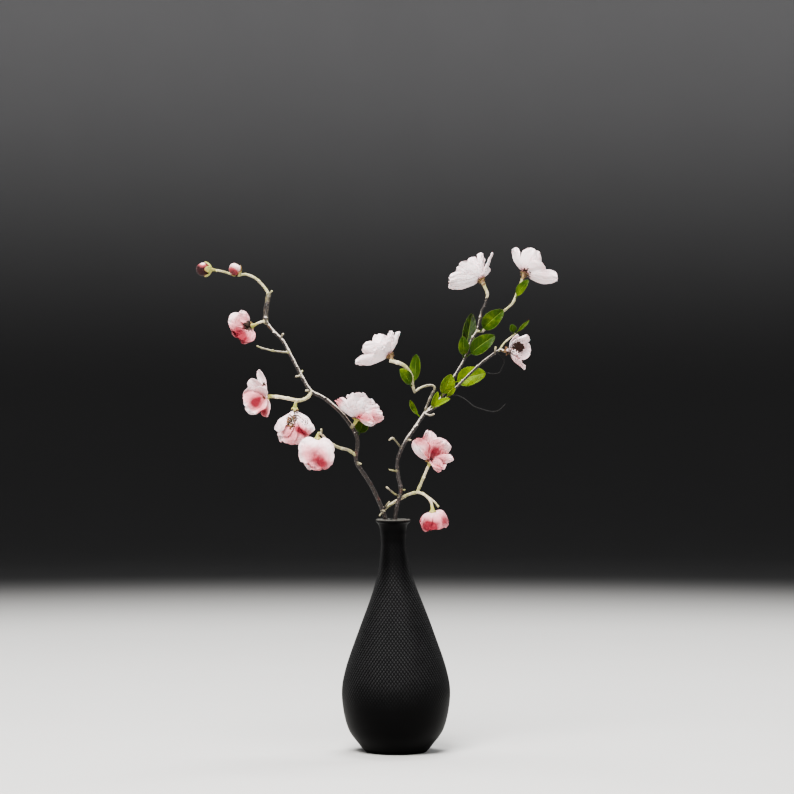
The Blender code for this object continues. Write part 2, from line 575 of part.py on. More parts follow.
def make_bud(name, side, limb, aim, half_length, half_width, finishes, parts):
    """A closed bud of folded petals, held in a cup whose five lobes hug it."""
    axis = Vector(aim).normalized()
    middle = stalk_of(side, limb)[0] + axis * (half_length + BUD_CUP_CLEAR + SEPAL + 2 * GAP)
    across, over = frame_of(axis)

    def on_bud(polar, turn, clear):
        reach = Vector((math.sin(polar) * (half_width + clear), -math.cos(polar) * (half_length + clear)))
        return middle + axis * reach.y + (across * math.cos(turn) + over * math.sin(turn)) * reach.x

    mesh = bpy.data.meshes.new(name)
    shape = bmesh.new()
    bmesh.ops.create_uvsphere(shape, u_segments=BUD_SIDES, v_segments=BUD_RINGS, radius=1.0)
    for vertex in shape.verts:
        turn = math.atan2(vertex.co.y, vertex.co.x)
        fold = abs(math.sin(1.5 * turn + BUD_TWIST * vertex.co.z)) - 1
        polar = math.acos(max(-1.0, min(1.0, -vertex.co.z)))
        vertex.co = on_bud(polar, turn, BUD_FOLD * half_width * fold * math.sin(polar)) * MM
    bmesh.ops.recalc_face_normals(shape, faces=shape.faces)
    shape.to_mesh(mesh)
    shape.free()
    finished(f"{name}_petals", new_object(name, mesh, parts), finishes["petal"])

    def on_cup(u, v):
        column = round((v + 1) * SEPALS)
        reach = BUD_CUP_REACH + (0 if column % 2 else BUD_LOBE_REACH)
        return on_bud(math.radians(reach * u), math.pi * column / SEPALS, GAP + SEPAL / 2 + BUD_CUP_CLEAR)

    cup = blade("cup", on_cup, 3, 2 * SEPALS, SEPAL, parts, round_it=True)
    finished(f"{name}_calyx", cup, finishes["calyx"])


def nearest_on(route, point):
    """The nearest place on a route to a point, and how far along the route it is, from 0 to 1."""
    best = None
    for i, (start, end) in enumerate(zip(route, route[1:])):
        run = end - start
        t = max(0.0, min(1.0, (point - start).dot(run) / run.length_squared))
        place = start + run * t
        if best is None or (point - place).length < best[0]:
            best = ((point - place).length, place, (i + t) / (len(route) - 1))
    return best[1], best[2]


def make_leaf(name, side, limb, foot, tip, width, turn, arch, finish, parts):
    """A leaf: one thin folded blade, arched along its rib, with its stalk just clear of the limb."""
    start_radius, end_radius, _, route = LIMBS[side][limb]
    foot = Vector(foot)
    on_limb, part_way = nearest_on([Vector(point) for point in route], foot)
    radius = (start_radius + (end_radius - start_radius) * part_way) * (1 + BARK_SWELL)
    clear = GAP if part_way == 1 else radius + GAP + LEAF / 2
    foot = on_limb + (foot - on_limb).normalized() * clear
    chord = Vector(tip) - foot
    length = chord.length
    along = chord / length
    face = (FRONT - FRONT.dot(along) * along).normalized()
    face = Matrix.Rotation(math.radians(turn), 3, along) @ face
    across = along.cross(face)

    def place(u, v):
        t = max(0.0, (u - LEAF_STALK_END) / (1 - LEAF_STALK_END))
        half = max(LEAF_STALK_HALF, width / 2 * math.sin(math.pi * t ** 0.85) ** 0.8)
        lift = arch * length * 4 * u * (1 - u) + LEAF_FOLD * half * abs(v)
        wave = LEAF_WAVE * width * abs(v) * math.sin(9 * u + 2 * v)
        return foot + along * (u * length) + across * (half * v) + face * (lift + wave)

    leaf = blade("leaf", place, LEAF_ROWS, 2, LEAF, parts)
    finished(name, leaf, finish)


def main():
    """Builds every piece of the vase of flowers."""
    for old in list(bpy.data.objects):
        bpy.data.objects.remove(old)
    parts = bpy.data.collections.new(COLLECTION)
    cutters = bpy.data.collections.new("cutters")
    for group in (parts, cutters):
        bpy.context.scene.collection.children.link(group)
    make_vase(parts)
    make_water(parts, cutters)
    make_branch("branch_left", LEFT_LIMBS, (0.16, 0.12, 0.10), parts)
    make_branch("branch_right", RIGHT_LIMBS, (0.30, 0.24, 0.20), parts)
    for name, (side, limb, facing, bulge, petals) in BLOOMS.items():
        axis = Vector(facing).normalized()
        finishes = {
            "petal": material(f"petal_{name}", PINK[name], 0.6),
            "calyx": material(f"calyx_{name}", (0.36, 0.33, 0.12), 0.6),
        }
        make_bloom(name, side, limb, axis, bulge, petals, finishes, parts)
    for name, (side, limb, aim, half_length, half_width) in BUDS.items():
        finishes = {
            "petal": material(f"petal_{name}", (0.72, 0.30, 0.32), 0.55),
            "calyx": material(f"calyx_{name}", (0.45, 0.48, 0.20), 0.6),
        }
        make_bud(name, side, limb, aim, half_length, half_width, finishes, parts)
    for name, leaf in LEAVES.items():
        make_leaf(name, *leaf, material(f"green_{name}", (0.22, 0.42, 0.06), 0.4), parts)


main()
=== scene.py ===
"""The looks of a black bottle vase of water that holds two flowering branches.

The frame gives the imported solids. Finer pieces stand for all of them but the water and keep their form:
petals with ruffled rims, stamens, sepals, bark, veined leaves and the vase's studded clay. Lengths are
millimetres here and metres in a mesh. The origin is the middle of the vase's foot and -Y is the front.
"""

import logging
import math
import random
from collections.abc import Callable, Sequence
from dataclasses import dataclass
from enum import Enum

import bmesh
import bpy
from mathutils import Matrix, Vector, kdtree, noise

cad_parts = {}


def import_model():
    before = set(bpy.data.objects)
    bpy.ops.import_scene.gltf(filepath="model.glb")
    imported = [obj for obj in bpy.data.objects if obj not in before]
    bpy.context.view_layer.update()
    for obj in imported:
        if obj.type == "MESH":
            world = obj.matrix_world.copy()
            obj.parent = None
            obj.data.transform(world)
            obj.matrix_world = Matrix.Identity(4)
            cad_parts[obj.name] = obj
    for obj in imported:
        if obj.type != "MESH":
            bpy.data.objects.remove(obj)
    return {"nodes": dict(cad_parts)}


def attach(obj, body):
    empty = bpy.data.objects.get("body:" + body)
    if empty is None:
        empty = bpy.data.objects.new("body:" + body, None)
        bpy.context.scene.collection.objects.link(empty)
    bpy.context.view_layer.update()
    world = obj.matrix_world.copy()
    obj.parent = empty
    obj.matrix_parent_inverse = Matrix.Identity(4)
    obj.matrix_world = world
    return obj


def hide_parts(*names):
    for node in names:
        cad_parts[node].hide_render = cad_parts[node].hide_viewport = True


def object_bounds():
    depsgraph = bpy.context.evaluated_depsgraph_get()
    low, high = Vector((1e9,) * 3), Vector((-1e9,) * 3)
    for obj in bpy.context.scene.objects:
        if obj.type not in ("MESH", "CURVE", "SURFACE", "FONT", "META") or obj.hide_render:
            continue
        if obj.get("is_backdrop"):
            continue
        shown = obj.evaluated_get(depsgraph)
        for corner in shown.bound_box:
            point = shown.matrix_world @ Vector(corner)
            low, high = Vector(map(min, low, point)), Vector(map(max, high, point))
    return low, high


LOG = logging.getLogger("vase_of_flowers")
MM = 0.001
FRONT = Vector((0.0, -1.0, 0.0))
BODY = "root"

PETAL_WALL = 0.3
SEPAL_WALL = 0.5
LEAF_WALL = 0.34
SIDE_VEINS = 7.0
VEIN_SLANT = 1.6
SCATTER_TURN = 2.4

Point = tuple[float, float, float]
Colour = tuple[float, float, float]
Place = Callable[[float, float], Vector]


class Side(Enum):
    """Which of the two branches a piece grows on."""

    LEFT = "branch_left"
    RIGHT = "branch_right"


class Slot(Enum):
    """The record's material slots."""

    GLAZE = "black_glaze"
    BARK = "bark"
    CALYX = "calyx"
    ROSE = "rose_petal"
    WHITE = "white_petal"
    LEAF = "leaf"


def ease(low: float, high: float, value: float) -> float:
    """A smooth step from 0 at low to 1 at high."""
    share = max(0.0, min(1.0, (value - low) / (high - low)))
    return share * share * (3 - 2 * share)


def catmull_rom(points: Sequence[Vector], steps: int) -> list[Vector]:
    """Points on a smooth curve through the given ones.

    Args:
        points: The points that the curve keeps.
        steps: How many points each stretch between two of them gets.

    Returns:
        The curve's points, the last given one included.
    """
    ends = [2 * points[0] - points[1], *points, 2 * points[-1] - points[-2]]
    curve = []
    for i in range(1, len(ends) - 2):
        before, start, end, after = ends[i - 1:i + 3]
        for step in range(steps):
            t = step / steps
            curve.append(0.5 * (
                2 * start
                + (end - before) * t
                + (2 * before - 5 * start + 4 * end - after) * t * t
                + (3 * start - before - 3 * end + after) * t ** 3
            ))
    curve.append(points[-1].copy())
    return curve


def square_to(axis: Vector) -> tuple[Vector, Vector]:
    """Two directions square to an axis and to each other, the first one towards the front."""
    near = (FRONT - FRONT.dot(axis) * axis).normalized()
    return near, axis.cross(near)


def around(axis: Vector, spread: float, turn: float) -> Vector:
    """The direction that leans from an axis by spread, turned about it from the front."""
    near, over = square_to(axis)
    return axis * math.cos(spread) + (near * math.cos(turn) + over * math.sin(turn)) * math.sin(spread)


def pick(*pieces: bpy.types.Object) -> None:
    """Selects only these pieces and makes the first one active.

    Args:
        *pieces: The pieces.
    """
    bpy.ops.object.select_all(action="DESELECT")
    for piece in pieces:
        piece.select_set(True)
    bpy.context.view_layer.objects.active = pieces[0]


def sheet(name: str, columns: int, rows: int, place: Place) -> bpy.types.Object:
    """A grid primitive that is shaped to a surface.

    Args:
        name: The piece's name.
        columns: Its faces across.
        rows: Its faces along.
        place: The surface, from along (0 to 1) and across (-1 to 1) to millimetres.

    Returns:
        The piece, whose UV map runs 0 to 1 across and along.
    """
    bpy.ops.object.select_all(action="DESELECT")
    bpy.ops.mesh.primitive_grid_add(x_subdivisions=columns, y_subdivisions=rows, size=2.0)
    piece = bpy.context.object
    piece.name = name
    for vertex in piece.data.vertices:
        vertex.co = place((vertex.co.y + 1) / 2, vertex.co.x) * MM
    return piece


def settle(piece: bpy.types.Object, kind: str, **settings: object) -> None:
    """Adds a modifier to a piece and applies it.

    Args:
        piece: What is modified.
        kind: The modifier's type.
        **settings: Its values by name.
    """
    modifier = piece.modifiers.new(kind.title(), kind)
    for name, value in settings.items():
        setattr(modifier, name, value)
    pick(piece)
    bpy.ops.object.modifier_apply(modifier=modifier.name)


def joined(name: str, pieces: Sequence[bpy.types.Object]) -> bpy.types.Object:
    """Joins pieces to one object.

    Args:
        name: The object's name.
        pieces: What it is made of, in order.

    Returns:
        The object.
    """
    pick(*pieces)
    if len(pieces) > 1:
        bpy.ops.object.join()
    pieces[0].name = name
    pieces[0].data.name = name
    return pieces[0]


def weld(piece: bpy.types.Object, within: float | None = 0.002, inwards: bool = False) -> None:
    """Merges points that lie on each other and makes all faces point one way.

    Args:
        piece: The piece.
        within: How close merged points lie, in millimetres, or None where none are merged.
        inwards: Whether the faces point inwards, as a room's do.
    """
    pick(piece)
    bpy.ops.object.mode_set(mode="EDIT")
    bpy.ops.mesh.select_all(action="SELECT")
    if within is not None:
        bpy.ops.mesh.remove_doubles(threshold=within * MM)
    bpy.ops.mesh.normals_make_consistent(inside=inwards)
    bpy.ops.object.mode_set(mode="OBJECT")


def thicken(piece: bpy.types.Object, wall: float) -> None:
    """Gives a sheet its wall, half of it on each side."""
    settle(piece, "SOLIDIFY", thickness=wall * MM, offset=0.0)


def placed(name: str, data: bpy.types.ID) -> bpy.types.Object:
    """Puts an object into the scene.

    Args:
        name: Its name.
        data: The mesh, curve, light or camera that it holds.

    Returns:
        The object.
    """
    piece = bpy.data.objects.new(name, data)
    bpy.context.collection.objects.link(piece)
    return piece


def nearest_of(points: Sequence[Vector]) -> kdtree.KDTree:
    """Sorts points so that the nearest one to any place is found fast.

    Args:
        points: The points.

    Returns:
        The tree, which finds a point with its number and distance.
    """
    tree = kdtree.KDTree(len(points))
    for number, point in enumerate(points):
        tree.insert(point, number)
    tree.balance()
    return tree


def triangles(piece: bpy.types.Object) -> int:
    """How many triangles a piece has."""
    piece.data.calc_loop_triangles()
    return len(piece.data.loop_triangles)


def paint(piece: bpy.types.Object, name: str, value: Callable[[Vector], float]) -> None:
    """Stores a number at each point of a piece, for its finish to read.

    Args:
        piece: The piece.
        name: The attribute's name.
        value: The number at a place, which is given in millimetres.
    """
    layer = piece.data.attributes.new(name, "FLOAT", "POINT")
    for vertex, item in zip(piece.data.vertices, layer.data):
        item.value = value(vertex.co / MM)


def finish(
    piece: bpy.types.Object, material: bpy.types.Material, slot: Slot, nodes: Sequence[str] = (),
    angle: float = 60.0,
) -> bpy.types.Object:
    """Dresses a piece, shades it smooth, attaches it to the body and hides the solids that it stands for.

    Args:
        piece: The piece.
        material: Its finish.
        slot: Not used.
        nodes: The solids that it stands for.
        angle: The sharpest turn, in degrees, that is still shaded smooth.

    Returns:
        The piece.
    """
    pick(piece)
    bpy.ops.object.shade_smooth_by_angle(angle=math.radians(angle))
    piece.data.materials.clear()
    piece.data.materials.append(material)
    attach(piece, BODY)
    if nodes:
        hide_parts(*nodes)
    return piece


@dataclass(frozen=True)
class Wire:
    """One output of a node. Sums on it add Math nodes."""

    paint: "Paint"
    socket: bpy.types.NodeSocket

    def __add__(self, other: "Amount") -> "Wire":
        """This plus other."""
        return self.paint.math("ADD", self, other)

    def __radd__(self, other: "Amount") -> "Wire":
        """Other plus this."""
        return self.paint.math("ADD", other, self)

    def __sub__(self, other: "Amount") -> "Wire":
        """This minus other."""
        return self.paint.math("SUBTRACT", self, other)

    def __rsub__(self, other: "Amount") -> "Wire":
        """Other minus this."""
        return self.paint.math("SUBTRACT", other, self)

    def __mul__(self, other: "Amount") -> "Wire":
        """This times other."""
        return self.paint.math("MULTIPLY", self, other)

    def __rmul__(self, other: "Amount") -> "Wire":
        """Other times this."""
        return self.paint.math("MULTIPLY", other, self)

    def __pow__(self, other: "Amount") -> "Wire":
        """This to the power of other."""
        return self.paint.math("POWER", self, other)

    def __abs__(self) -> "Wire":
        """This without its sign."""
        return self.paint.math("ABSOLUTE", self)


Amount = Wire | float


class Paint:
    """One procedural material, made node by node on a Principled shader."""

    def __init__(self, name: str) -> None:
        """Starts a material.

        Args:
            name: The material's name.
        """
        self.material = bpy.data.materials.new(name)
        self.material.use_nodes = True
        self.tree = self.material.node_tree
        self.shader = self.tree.nodes["Principled BSDF"]

    def node(
        self, kind: str, settings: dict[str, object] | None = None,
        sockets: dict[int | str, object] | None = None, output: int | str = 0,
    ) -> Wire:
        """Adds a node.

        Args:
            kind: The node's type.
            settings: Its options by name, and a ramp's "stops" as (place, colour) pairs.
            sockets: What its inputs get, by name or number: a wire or a value.
            output: The output that is returned.

        Returns:
            That output.
        """
        node = self.tree.nodes.new(kind)
        for name, value in (settings or {}).items():
            if name == "stops":
                self._stops(node.color_ramp.elements, value)
            else:
                setattr(node, name, value)
        for name, value in (sockets or {}).items():
            self.plug(node.inputs[name], value)
        return Wire(self, node.outputs[output])

    @staticmethod
    def _stops(elements: bpy.types.ColorRampElements, stops: Sequence[tuple[float, Colour]]) -> None:
        """Gives a ramp its colours.

        Args:
            elements: The ramp's stops.
            stops: The place and colour of each.
        """
        while len(elements) < len(stops):
            elements.new(1.0)
        for element, (place, colour) in zip(elements, stops):
            element.position = place
            element.color = (*colour, 1.0)

    def plug(self, socket: bpy.types.NodeSocket, value: object) -> None:
        """Links a wire to a socket, or sets the socket's own value.

        Args:
            socket: The socket.
            value: The wire, or the value that is the same all over.
        """
        if isinstance(value, Wire):
            self.tree.links.new(value.socket, socket)
        elif socket.type == "RGBA":
            socket.default_value = (*value, 1.0)
        else:
            socket.default_value = value

    def set(self, **values: object) -> None:
        """Sets the shader's sockets by name, with an underscore for each space."""
        for name, value in values.items():
            self.plug(self.shader.inputs[name.replace("_", " ")], value)

    def math(self, operation: str, *values: Amount) -> Wire:
        """A Math node on one to three values."""
        return self.node("ShaderNodeMath", {"operation": operation}, dict(enumerate(values)))

    def clamp(self, value: Amount) -> Wire:
        """A value held between 0 and 1."""
        return self.node("ShaderNodeClamp", sockets={0: value})

    def step(self, low: float, high: float, value: Amount) -> Wire:
        """A smooth step from 0 at low to 1 at high."""
        settings = {"interpolation_type": "SMOOTHSTEP"}
        return self.node("ShaderNodeMapRange", settings, {"Value": value, "From Min": low, "From Max": high})

    def mix(self, share: Amount, first: Wire | Colour, second: Wire | Colour) -> Wire:
        """The first colour where share is 0, the second where it is 1."""
        return self.node("ShaderNodeMix", {"data_type": "RGBA"}, {0: share, 6: first, 7: second}, output=2)

    def place(self) -> Wire:
        """The point on the object, in metres."""
        return self.node("ShaderNodeTexCoord", output="Object")

    def stretched(self, scale: Point) -> Wire:
        """The point on the object, scaled."""
        return self.node("ShaderNodeMapping", sockets={"Vector": self.place(), "Scale": scale})

    def axis(self, vector: Wire, name: str) -> Wire:
        """One axis of a vector."""
        return self.node("ShaderNodeSeparateXYZ", sockets={0: vector}, output=name)

    def combined(self, x: Amount, y: Amount, z: Amount) -> Wire:
        """A vector of three numbers."""
        return self.node("ShaderNodeCombineXYZ", sockets={0: x, 1: y, 2: z})

    def stored(self, name: str) -> Wire:
        """A number that is stored on the mesh."""
        return self.node("ShaderNodeAttribute", {"attribute_name": name}, output="Fac")

    def along_across(self) -> tuple[Wire, Wire]:
        """How far along a blade a point is, 0 to 1, and how far across from its middle, -1 to 1."""
        sides = self.node("ShaderNodeUVMap", {"uv_map": "UVMap"})
        return self.axis(sides, "Y"), self.axis(sides, "X") * 2.0 - 1.0

    def noise(
        self, scale: float, vector: Wire | None = None, detail: float = 3.0, rough: float = 0.5,
    ) -> Wire:
        """Cloudy noise between 0 and 1."""
        sockets = {"Vector": vector or self.place(), "Scale": scale, "Detail": detail, "Roughness": rough}
        return self.node("ShaderNodeTexNoise", sockets=sockets)

    def cells(self, scale: float, vector: Wire | None = None) -> Wire:
        """The distance to the nearest of many scattered points."""
        return self.node("ShaderNodeTexVoronoi", sockets={"Vector": vector or self.place(), "Scale": scale})

    def raise_by(self, height: Wire, depth: float) -> None:
        """Bumps the surface by a height of 0 to 1 times a depth in millimetres."""
        sockets = {"Height": height, "Strength": 1.0, "Distance": depth * MM}
        self.set(Normal=self.node("ShaderNodeBump", sockets=sockets))


@dataclass(frozen=True)
class BlackGlaze:
    """The vase's satin black glaze: painted highlights on its studs, a pale lip that is part wear and part
    painted highlight, and its foot left matt.
    """

    deep: Colour = (0.0006, 0.0006, 0.0007)
    stud_highlight_colour: Colour = (0.0165, 0.0165, 0.017)
    lip_highlight_and_wear: Colour = (0.085, 0.083, 0.075)
    lip_height: float = 199.2
    foot_height: float = 4.0

    def material(self) -> bpy.types.Material:
        """Mixes the finish of the vase and its studs, which reads how much painted highlight each stud's top
        gets, fading as the stud does.

        Returns:
            The material.
        """
        coat = Paint("satin_black_glaze")
        height = coat.axis(coat.place(), "Z")
        cloud = coat.noise(90.0)
        grain = coat.noise(900.0, detail=4.0)
        raised = coat.stored("raised") * (0.65 + cloud * 0.7)
        patchy = coat.step(0.30, 0.50, coat.noise(260.0))
        # The lip's top is painted pale: partly wear, partly a painted highlight where light catches the rim.
        lip = coat.step((self.lip_height - 1.0) * MM, (self.lip_height + 0.5) * MM, height) * patchy
        foot = coat.step(self.foot_height * MM, (self.foot_height - 2.0) * MM, height)
        # Painted highlight: each stud's top is painted a lighter grey than the black round it, standing in
        # for the light that it catches.
        colour = coat.mix(coat.clamp(raised), self.deep, self.stud_highlight_colour)
        coat.set(Base_Color=coat.mix(lip, colour, self.lip_highlight_and_wear))
        coat.set(Roughness=0.44 + cloud * 0.10 + lip * 0.2 + foot * 0.35, Specular_IOR_Level=0.08)
        coat.raise_by(grain, 0.04)
        return coat.material


@dataclass(frozen=True)
class StillWater:
    """Clear water, which shows only through the vase's mouth."""

    shallow: Colour = (0.82, 0.92, 0.92)
    deep: Colour = (0.60, 0.76, 0.74)

    def material(self) -> bpy.types.Material:
        """Mixes the finish of the water.

        Returns:
            The material.
        """
        coat = Paint("still_water")
        coat.set(Base_Color=coat.mix(coat.noise(30.0), self.shallow, self.deep))
        coat.set(Roughness=0.02 + coat.noise(80.0) * 0.03, IOR=1.333, Transmission_Weight=0.9)
        coat.raise_by(coat.noise(120.0), 0.2)
        return coat.material


@dataclass(frozen=True)
class Bark:
    """Dark brown bark that turns to cream and green on young shoots, with a painted pale highlight on the
    upper side of its older limbs.
    """

    cracks: Colour = (0.006, 0.004, 0.0035)
    wood: Colour = (0.019, 0.0125, 0.010)
    specks: Colour = (0.26, 0.21, 0.17)
    rust: Colour = (0.062, 0.016, 0.009)
    painted_upper_highlight: Colour = (0.56, 0.50, 0.43)
    tendril: Colour = (0.003, 0.0025, 0.002)
    shoot: Colour = (0.62, 0.55, 0.38)
    shoot_green: Colour = (0.38, 0.37, 0.16)

    def material(self) -> bpy.types.Material:
        """Mixes the finish of both branches, which reads how young each point is, how much painted highlight
        its upper side gets, and where the dark tendrils are.

        Returns:
            The material.
        """
        coat = Paint("bark")
        young = coat.stored("young")
        fibre = coat.noise(1.0, coat.stretched((900.0, 900.0, 170.0)), 5.0, 0.65)
        patch = coat.noise(110.0)
        old = coat.mix(coat.step(0.36, 0.62, fibre), self.cracks, self.wood)
        old = coat.mix(coat.step(0.56, 0.70, patch) * 0.7, old, self.rust)
        speck = coat.step(0.32, 0.18, coat.cells(1.0, coat.stretched((420.0, 420.0, 760.0))))
        old = coat.mix(speck * (0.14 + young * 1.3), old, self.specks)
        weathered = coat.stored("weathered")
        # Painted highlight: the upper sides of the limbs are painted pale, standing in for light from above.
        upper = coat.step(0.35, 0.75, weathered + (fibre - 0.5) * 0.7 + (patch - 0.5) * 0.5)
        old = coat.mix(upper * 0.85, old, self.painted_upper_highlight)
        wispy = coat.step(-0.2, -0.8, weathered)
        old = coat.mix(wispy, old, self.tendril)
        green = coat.mix(coat.step(0.38, 0.64, patch), self.shoot, self.shoot_green)
        green = coat.mix(coat.step(0.56, 0.40, fibre) * 0.35, green, self.rust)
        share = coat.step(0.25, 0.75, young + (patch - 0.5) * 0.6)
        coat.set(Base_Color=coat.mix(share, old, green))
        coat.set(Roughness=0.50 + fibre * 0.15 - share * 0.08 + wispy * 0.25)
        coat.raise_by((fibre + speck * 0.3) * (1.0 - share * 0.6), 0.30)
        return coat.material


@dataclass(frozen=True)
class PetalSkin:
    """Soft petals: nearly white, finely streaked, and flushed where the mesh says so, with dark brown marks
    that are partly browning and partly painted shade.
    """

    name: str
    pale: Colour
    blush: Colour = (0.76, 0.31, 0.34)
    flush: Colour = (0.25, 0.020, 0.034)
    brown: Colour = (0.052, 0.026, 0.019)
    shade: Colour = (0.80, 0.68, 0.68)

    def material(self) -> bpy.types.Material:
        """Mixes the finish of a bloom's or a bud's petals.

        Returns:
            The material.
        """
        coat = Paint(self.name)
        along, across = coat.along_across()
        strain = coat.stored("strain")
        cloud = coat.noise(170.0, detail=4.0)
        wander = across + (cloud - 0.5) * 0.12
        veins = coat.noise(1.0, coat.combined(wander * 13.0, along * 1.8, strain), 4.0, 0.6)
        crinkle = coat.noise(1.0, coat.combined(wander * 5.0, along * 7.0, strain + 5.0), 4.0, 0.6)
        mottled = 0.36 + veins * 0.34 + crinkle * 0.34 + cloud * 0.60
        rose = coat.stored("flush") * mottled + (cloud - 0.5) * 0.06
        colour = coat.mix(coat.step(0.0, 0.55, rose), self.pale, self.blush)
        colour = coat.mix(coat.step(0.42, 1.30, rose), colour, self.flush)
        streaks = coat.step(0.50, 0.34, veins) * coat.step(0.7, 0.1, rose)
        colour = coat.mix(streaks * 0.30, colour, self.shade)
        spots = coat.cells(1.0, coat.stretched((620.0, 620.0, 620.0)))
        # Dark marks: browning at some blooms' middles, and painted shade in hollows and on shaded petals.
        browned = coat.stored("browned") * (0.75 + cloud * 0.5)
        brown_and_shaded_spots = coat.step(0.10, 0.0, spots - browned * 0.85) * coat.step(0.05, 0.25, browned)
        coat.set(Base_Color=coat.mix(brown_and_shaded_spots, colour, self.brown))
        coat.set(Roughness=0.50 + cloud * 0.15, Subsurface_Weight=0.16, Subsurface_Radius=(1.0, 0.5, 0.45))
        coat.set(Subsurface_Scale=0.001, Specular_IOR_Level=0.25, Sheen_Weight=0.04, Sheen_Roughness=0.5)
        coat.raise_by(veins * 0.6 + crinkle + cloud * 0.8 + coat.noise(1100.0) * 0.12, 0.75)
        return coat.material


@dataclass(frozen=True)
class SepalSkin:
    """Matt yellow-green sepals with rusty tips."""

    name: str = "sepals"
    green: Colour = (0.24, 0.28, 0.05)
    yellow: Colour = (0.46, 0.41, 0.13)
    tip: Colour = (0.16, 0.055, 0.025)

    def material(self) -> bpy.types.Material:
        """Mixes the finish of a calyx.

        Returns:
            The material.
        """
        coat = Paint(self.name)
        along, across = coat.along_across()
        cloud = coat.noise(420.0, detail=4.0)
        colour = coat.mix(coat.step(0.35, 0.65, cloud), self.green, self.yellow)
        rust = coat.step(0.80, 1.10, along + (cloud - 0.5) * 0.4)
        coat.set(Base_Color=coat.mix(rust, colour, self.tip), Roughness=0.58 + cloud * 0.12)
        coat.set(Subsurface_Weight=0.08, Subsurface_Scale=0.001)
        coat.raise_by(cloud + coat.math("SINE", across * 90.0) * 0.1, 0.12)
        return coat.material


@dataclass(frozen=True)
class LeafSkin:
    """A glossy leaf with a pale midrib and side veins."""

    lime: Colour = (0.13, 0.195, 0.008)
    green: Colour = (0.022, 0.050, 0.003)
    dark: Colour = (0.006, 0.010, 0.002)
    pale: Colour = (0.19, 0.26, 0.05)

    def material(self) -> bpy.types.Material:
        """Mixes the finish of every leaf, which reads how dark it has ripened, and for one leaf also painted
        shade.

        Returns:
            The material.
        """
        coat = Paint("leaf")
        along, across = coat.along_across()
        away = abs(across)
        cloud = coat.noise(130.0, detail=4.0)
        # Ripeness sets how dark the leaf is; for the tall leaf it also carries painted shade.
        ripe = coat.clamp(coat.stored("ripe") + (cloud - 0.5) * 0.9)
        colour = coat.mix(coat.step(0.0, 0.5, ripe), self.lime, self.green)
        colour = coat.mix(coat.step(0.5, 1.0, ripe), colour, self.dark)
        rib = coat.step(0.075, 0.02, away)
        fan = coat.math("SINE", (along * SIDE_VEINS - away * VEIN_SLANT) * math.pi)
        side = coat.step(0.20, 0.03, abs(fan)) * coat.step(0.95, 0.70, away)
        rim = coat.step(0.93, 1.0, away)
        shown = coat.clamp(rib * 0.45 + side * 0.16 + rim * 0.4)
        coat.set(Base_Color=coat.mix(shown, colour, self.pale))
        coat.set(Roughness=0.44 + cloud * 0.16, Coat_Weight=0.02, Coat_Roughness=0.3, Specular_IOR_Level=0.12)
        coat.set(Subsurface_Weight=0.08, Subsurface_Scale=0.001)
        coat.raise_by(1.0 - coat.clamp(rib + side * 0.6) + coat.noise(600.0) * 0.12, 0.25)
        return coat.material


@dataclass(frozen=True)
class Pollen:
    """Pale filaments with golden-brown anthers."""

    filament: Colour = (0.80, 0.74, 0.52)
    anther: Colour = (0.19, 0.085, 0.018)
    ripe: Colour = (0.045, 0.020, 0.011)

    def material(self) -> bpy.types.Material:
        """Mixes the finish of the stamens, which reads where the anthers are.

        Returns:
            The material.
        """
        coat = Paint("stamens")
        grain = coat.noise(1400.0, detail=4.0)
        dust = coat.mix(coat.step(0.4, 0.65, grain), self.anther, self.ripe)
        coat.set(Base_Color=coat.mix(coat.stored("anther"), self.filament, dust))
        coat.set(Roughness=0.62 + grain * 0.2)
        coat.raise_by(grain, 0.1)
        return coat.material


@dataclass(frozen=True)
class PaleFloor:
    """A plain pale floor whose colour fades to a dark backdrop all round: painted shade where less light
    would reach, and painted light that turns the backdrop lighter higher up.
    """

    near: Colour = (0.52, 0.515, 0.50)
    # Painted shade and light: the backdrop's dark colour low down, and its lighter colour high up.
    far: Colour = (0.013, 0.013, 0.0135)
    high: Colour = (0.23, 0.23, 0.235)
    fade: tuple[float, float] = (1250.0, 2500.0)
    dust: Colour = (0.05, 0.05, 0.05)
    painted_light_heights: tuple[float, float] = (300.0, 1400.0)

    def material(self) -> bpy.types.Material:
        """Mixes the finish of the floor.

        Returns:
            The material.
        """
        coat = Paint("pale_floor")
        spot = coat.place()
        away = coat.math("SQRT", coat.axis(spot, "X") ** 2.0 + coat.axis(spot, "Y") ** 2.0)
        grain = coat.noise(6.0, detail=4.0)
        # Painted light: the backdrop turns lighter between these heights; away from the middle it is painted
        # dark as shade.
        rise = coat.step(self.painted_light_heights[0] * MM, self.painted_light_heights[1] * MM, coat.axis(spot, "Z"))
        wall = coat.mix(rise, self.far, self.high)
        colour = coat.mix(coat.step(self.fade[0] * MM, self.fade[1] * MM, away), self.near, wall)
        coat.set(Base_Color=coat.mix(grain * 0.05, colour, self.dust), Roughness=0.8 + grain * 0.1)
        return coat.material


@dataclass(frozen=True)
class Strand:
    """A round strand: its middle line and its radius at each point, in millimetres."""

    points: Sequence[Vector]
    radii: Sequence[float]


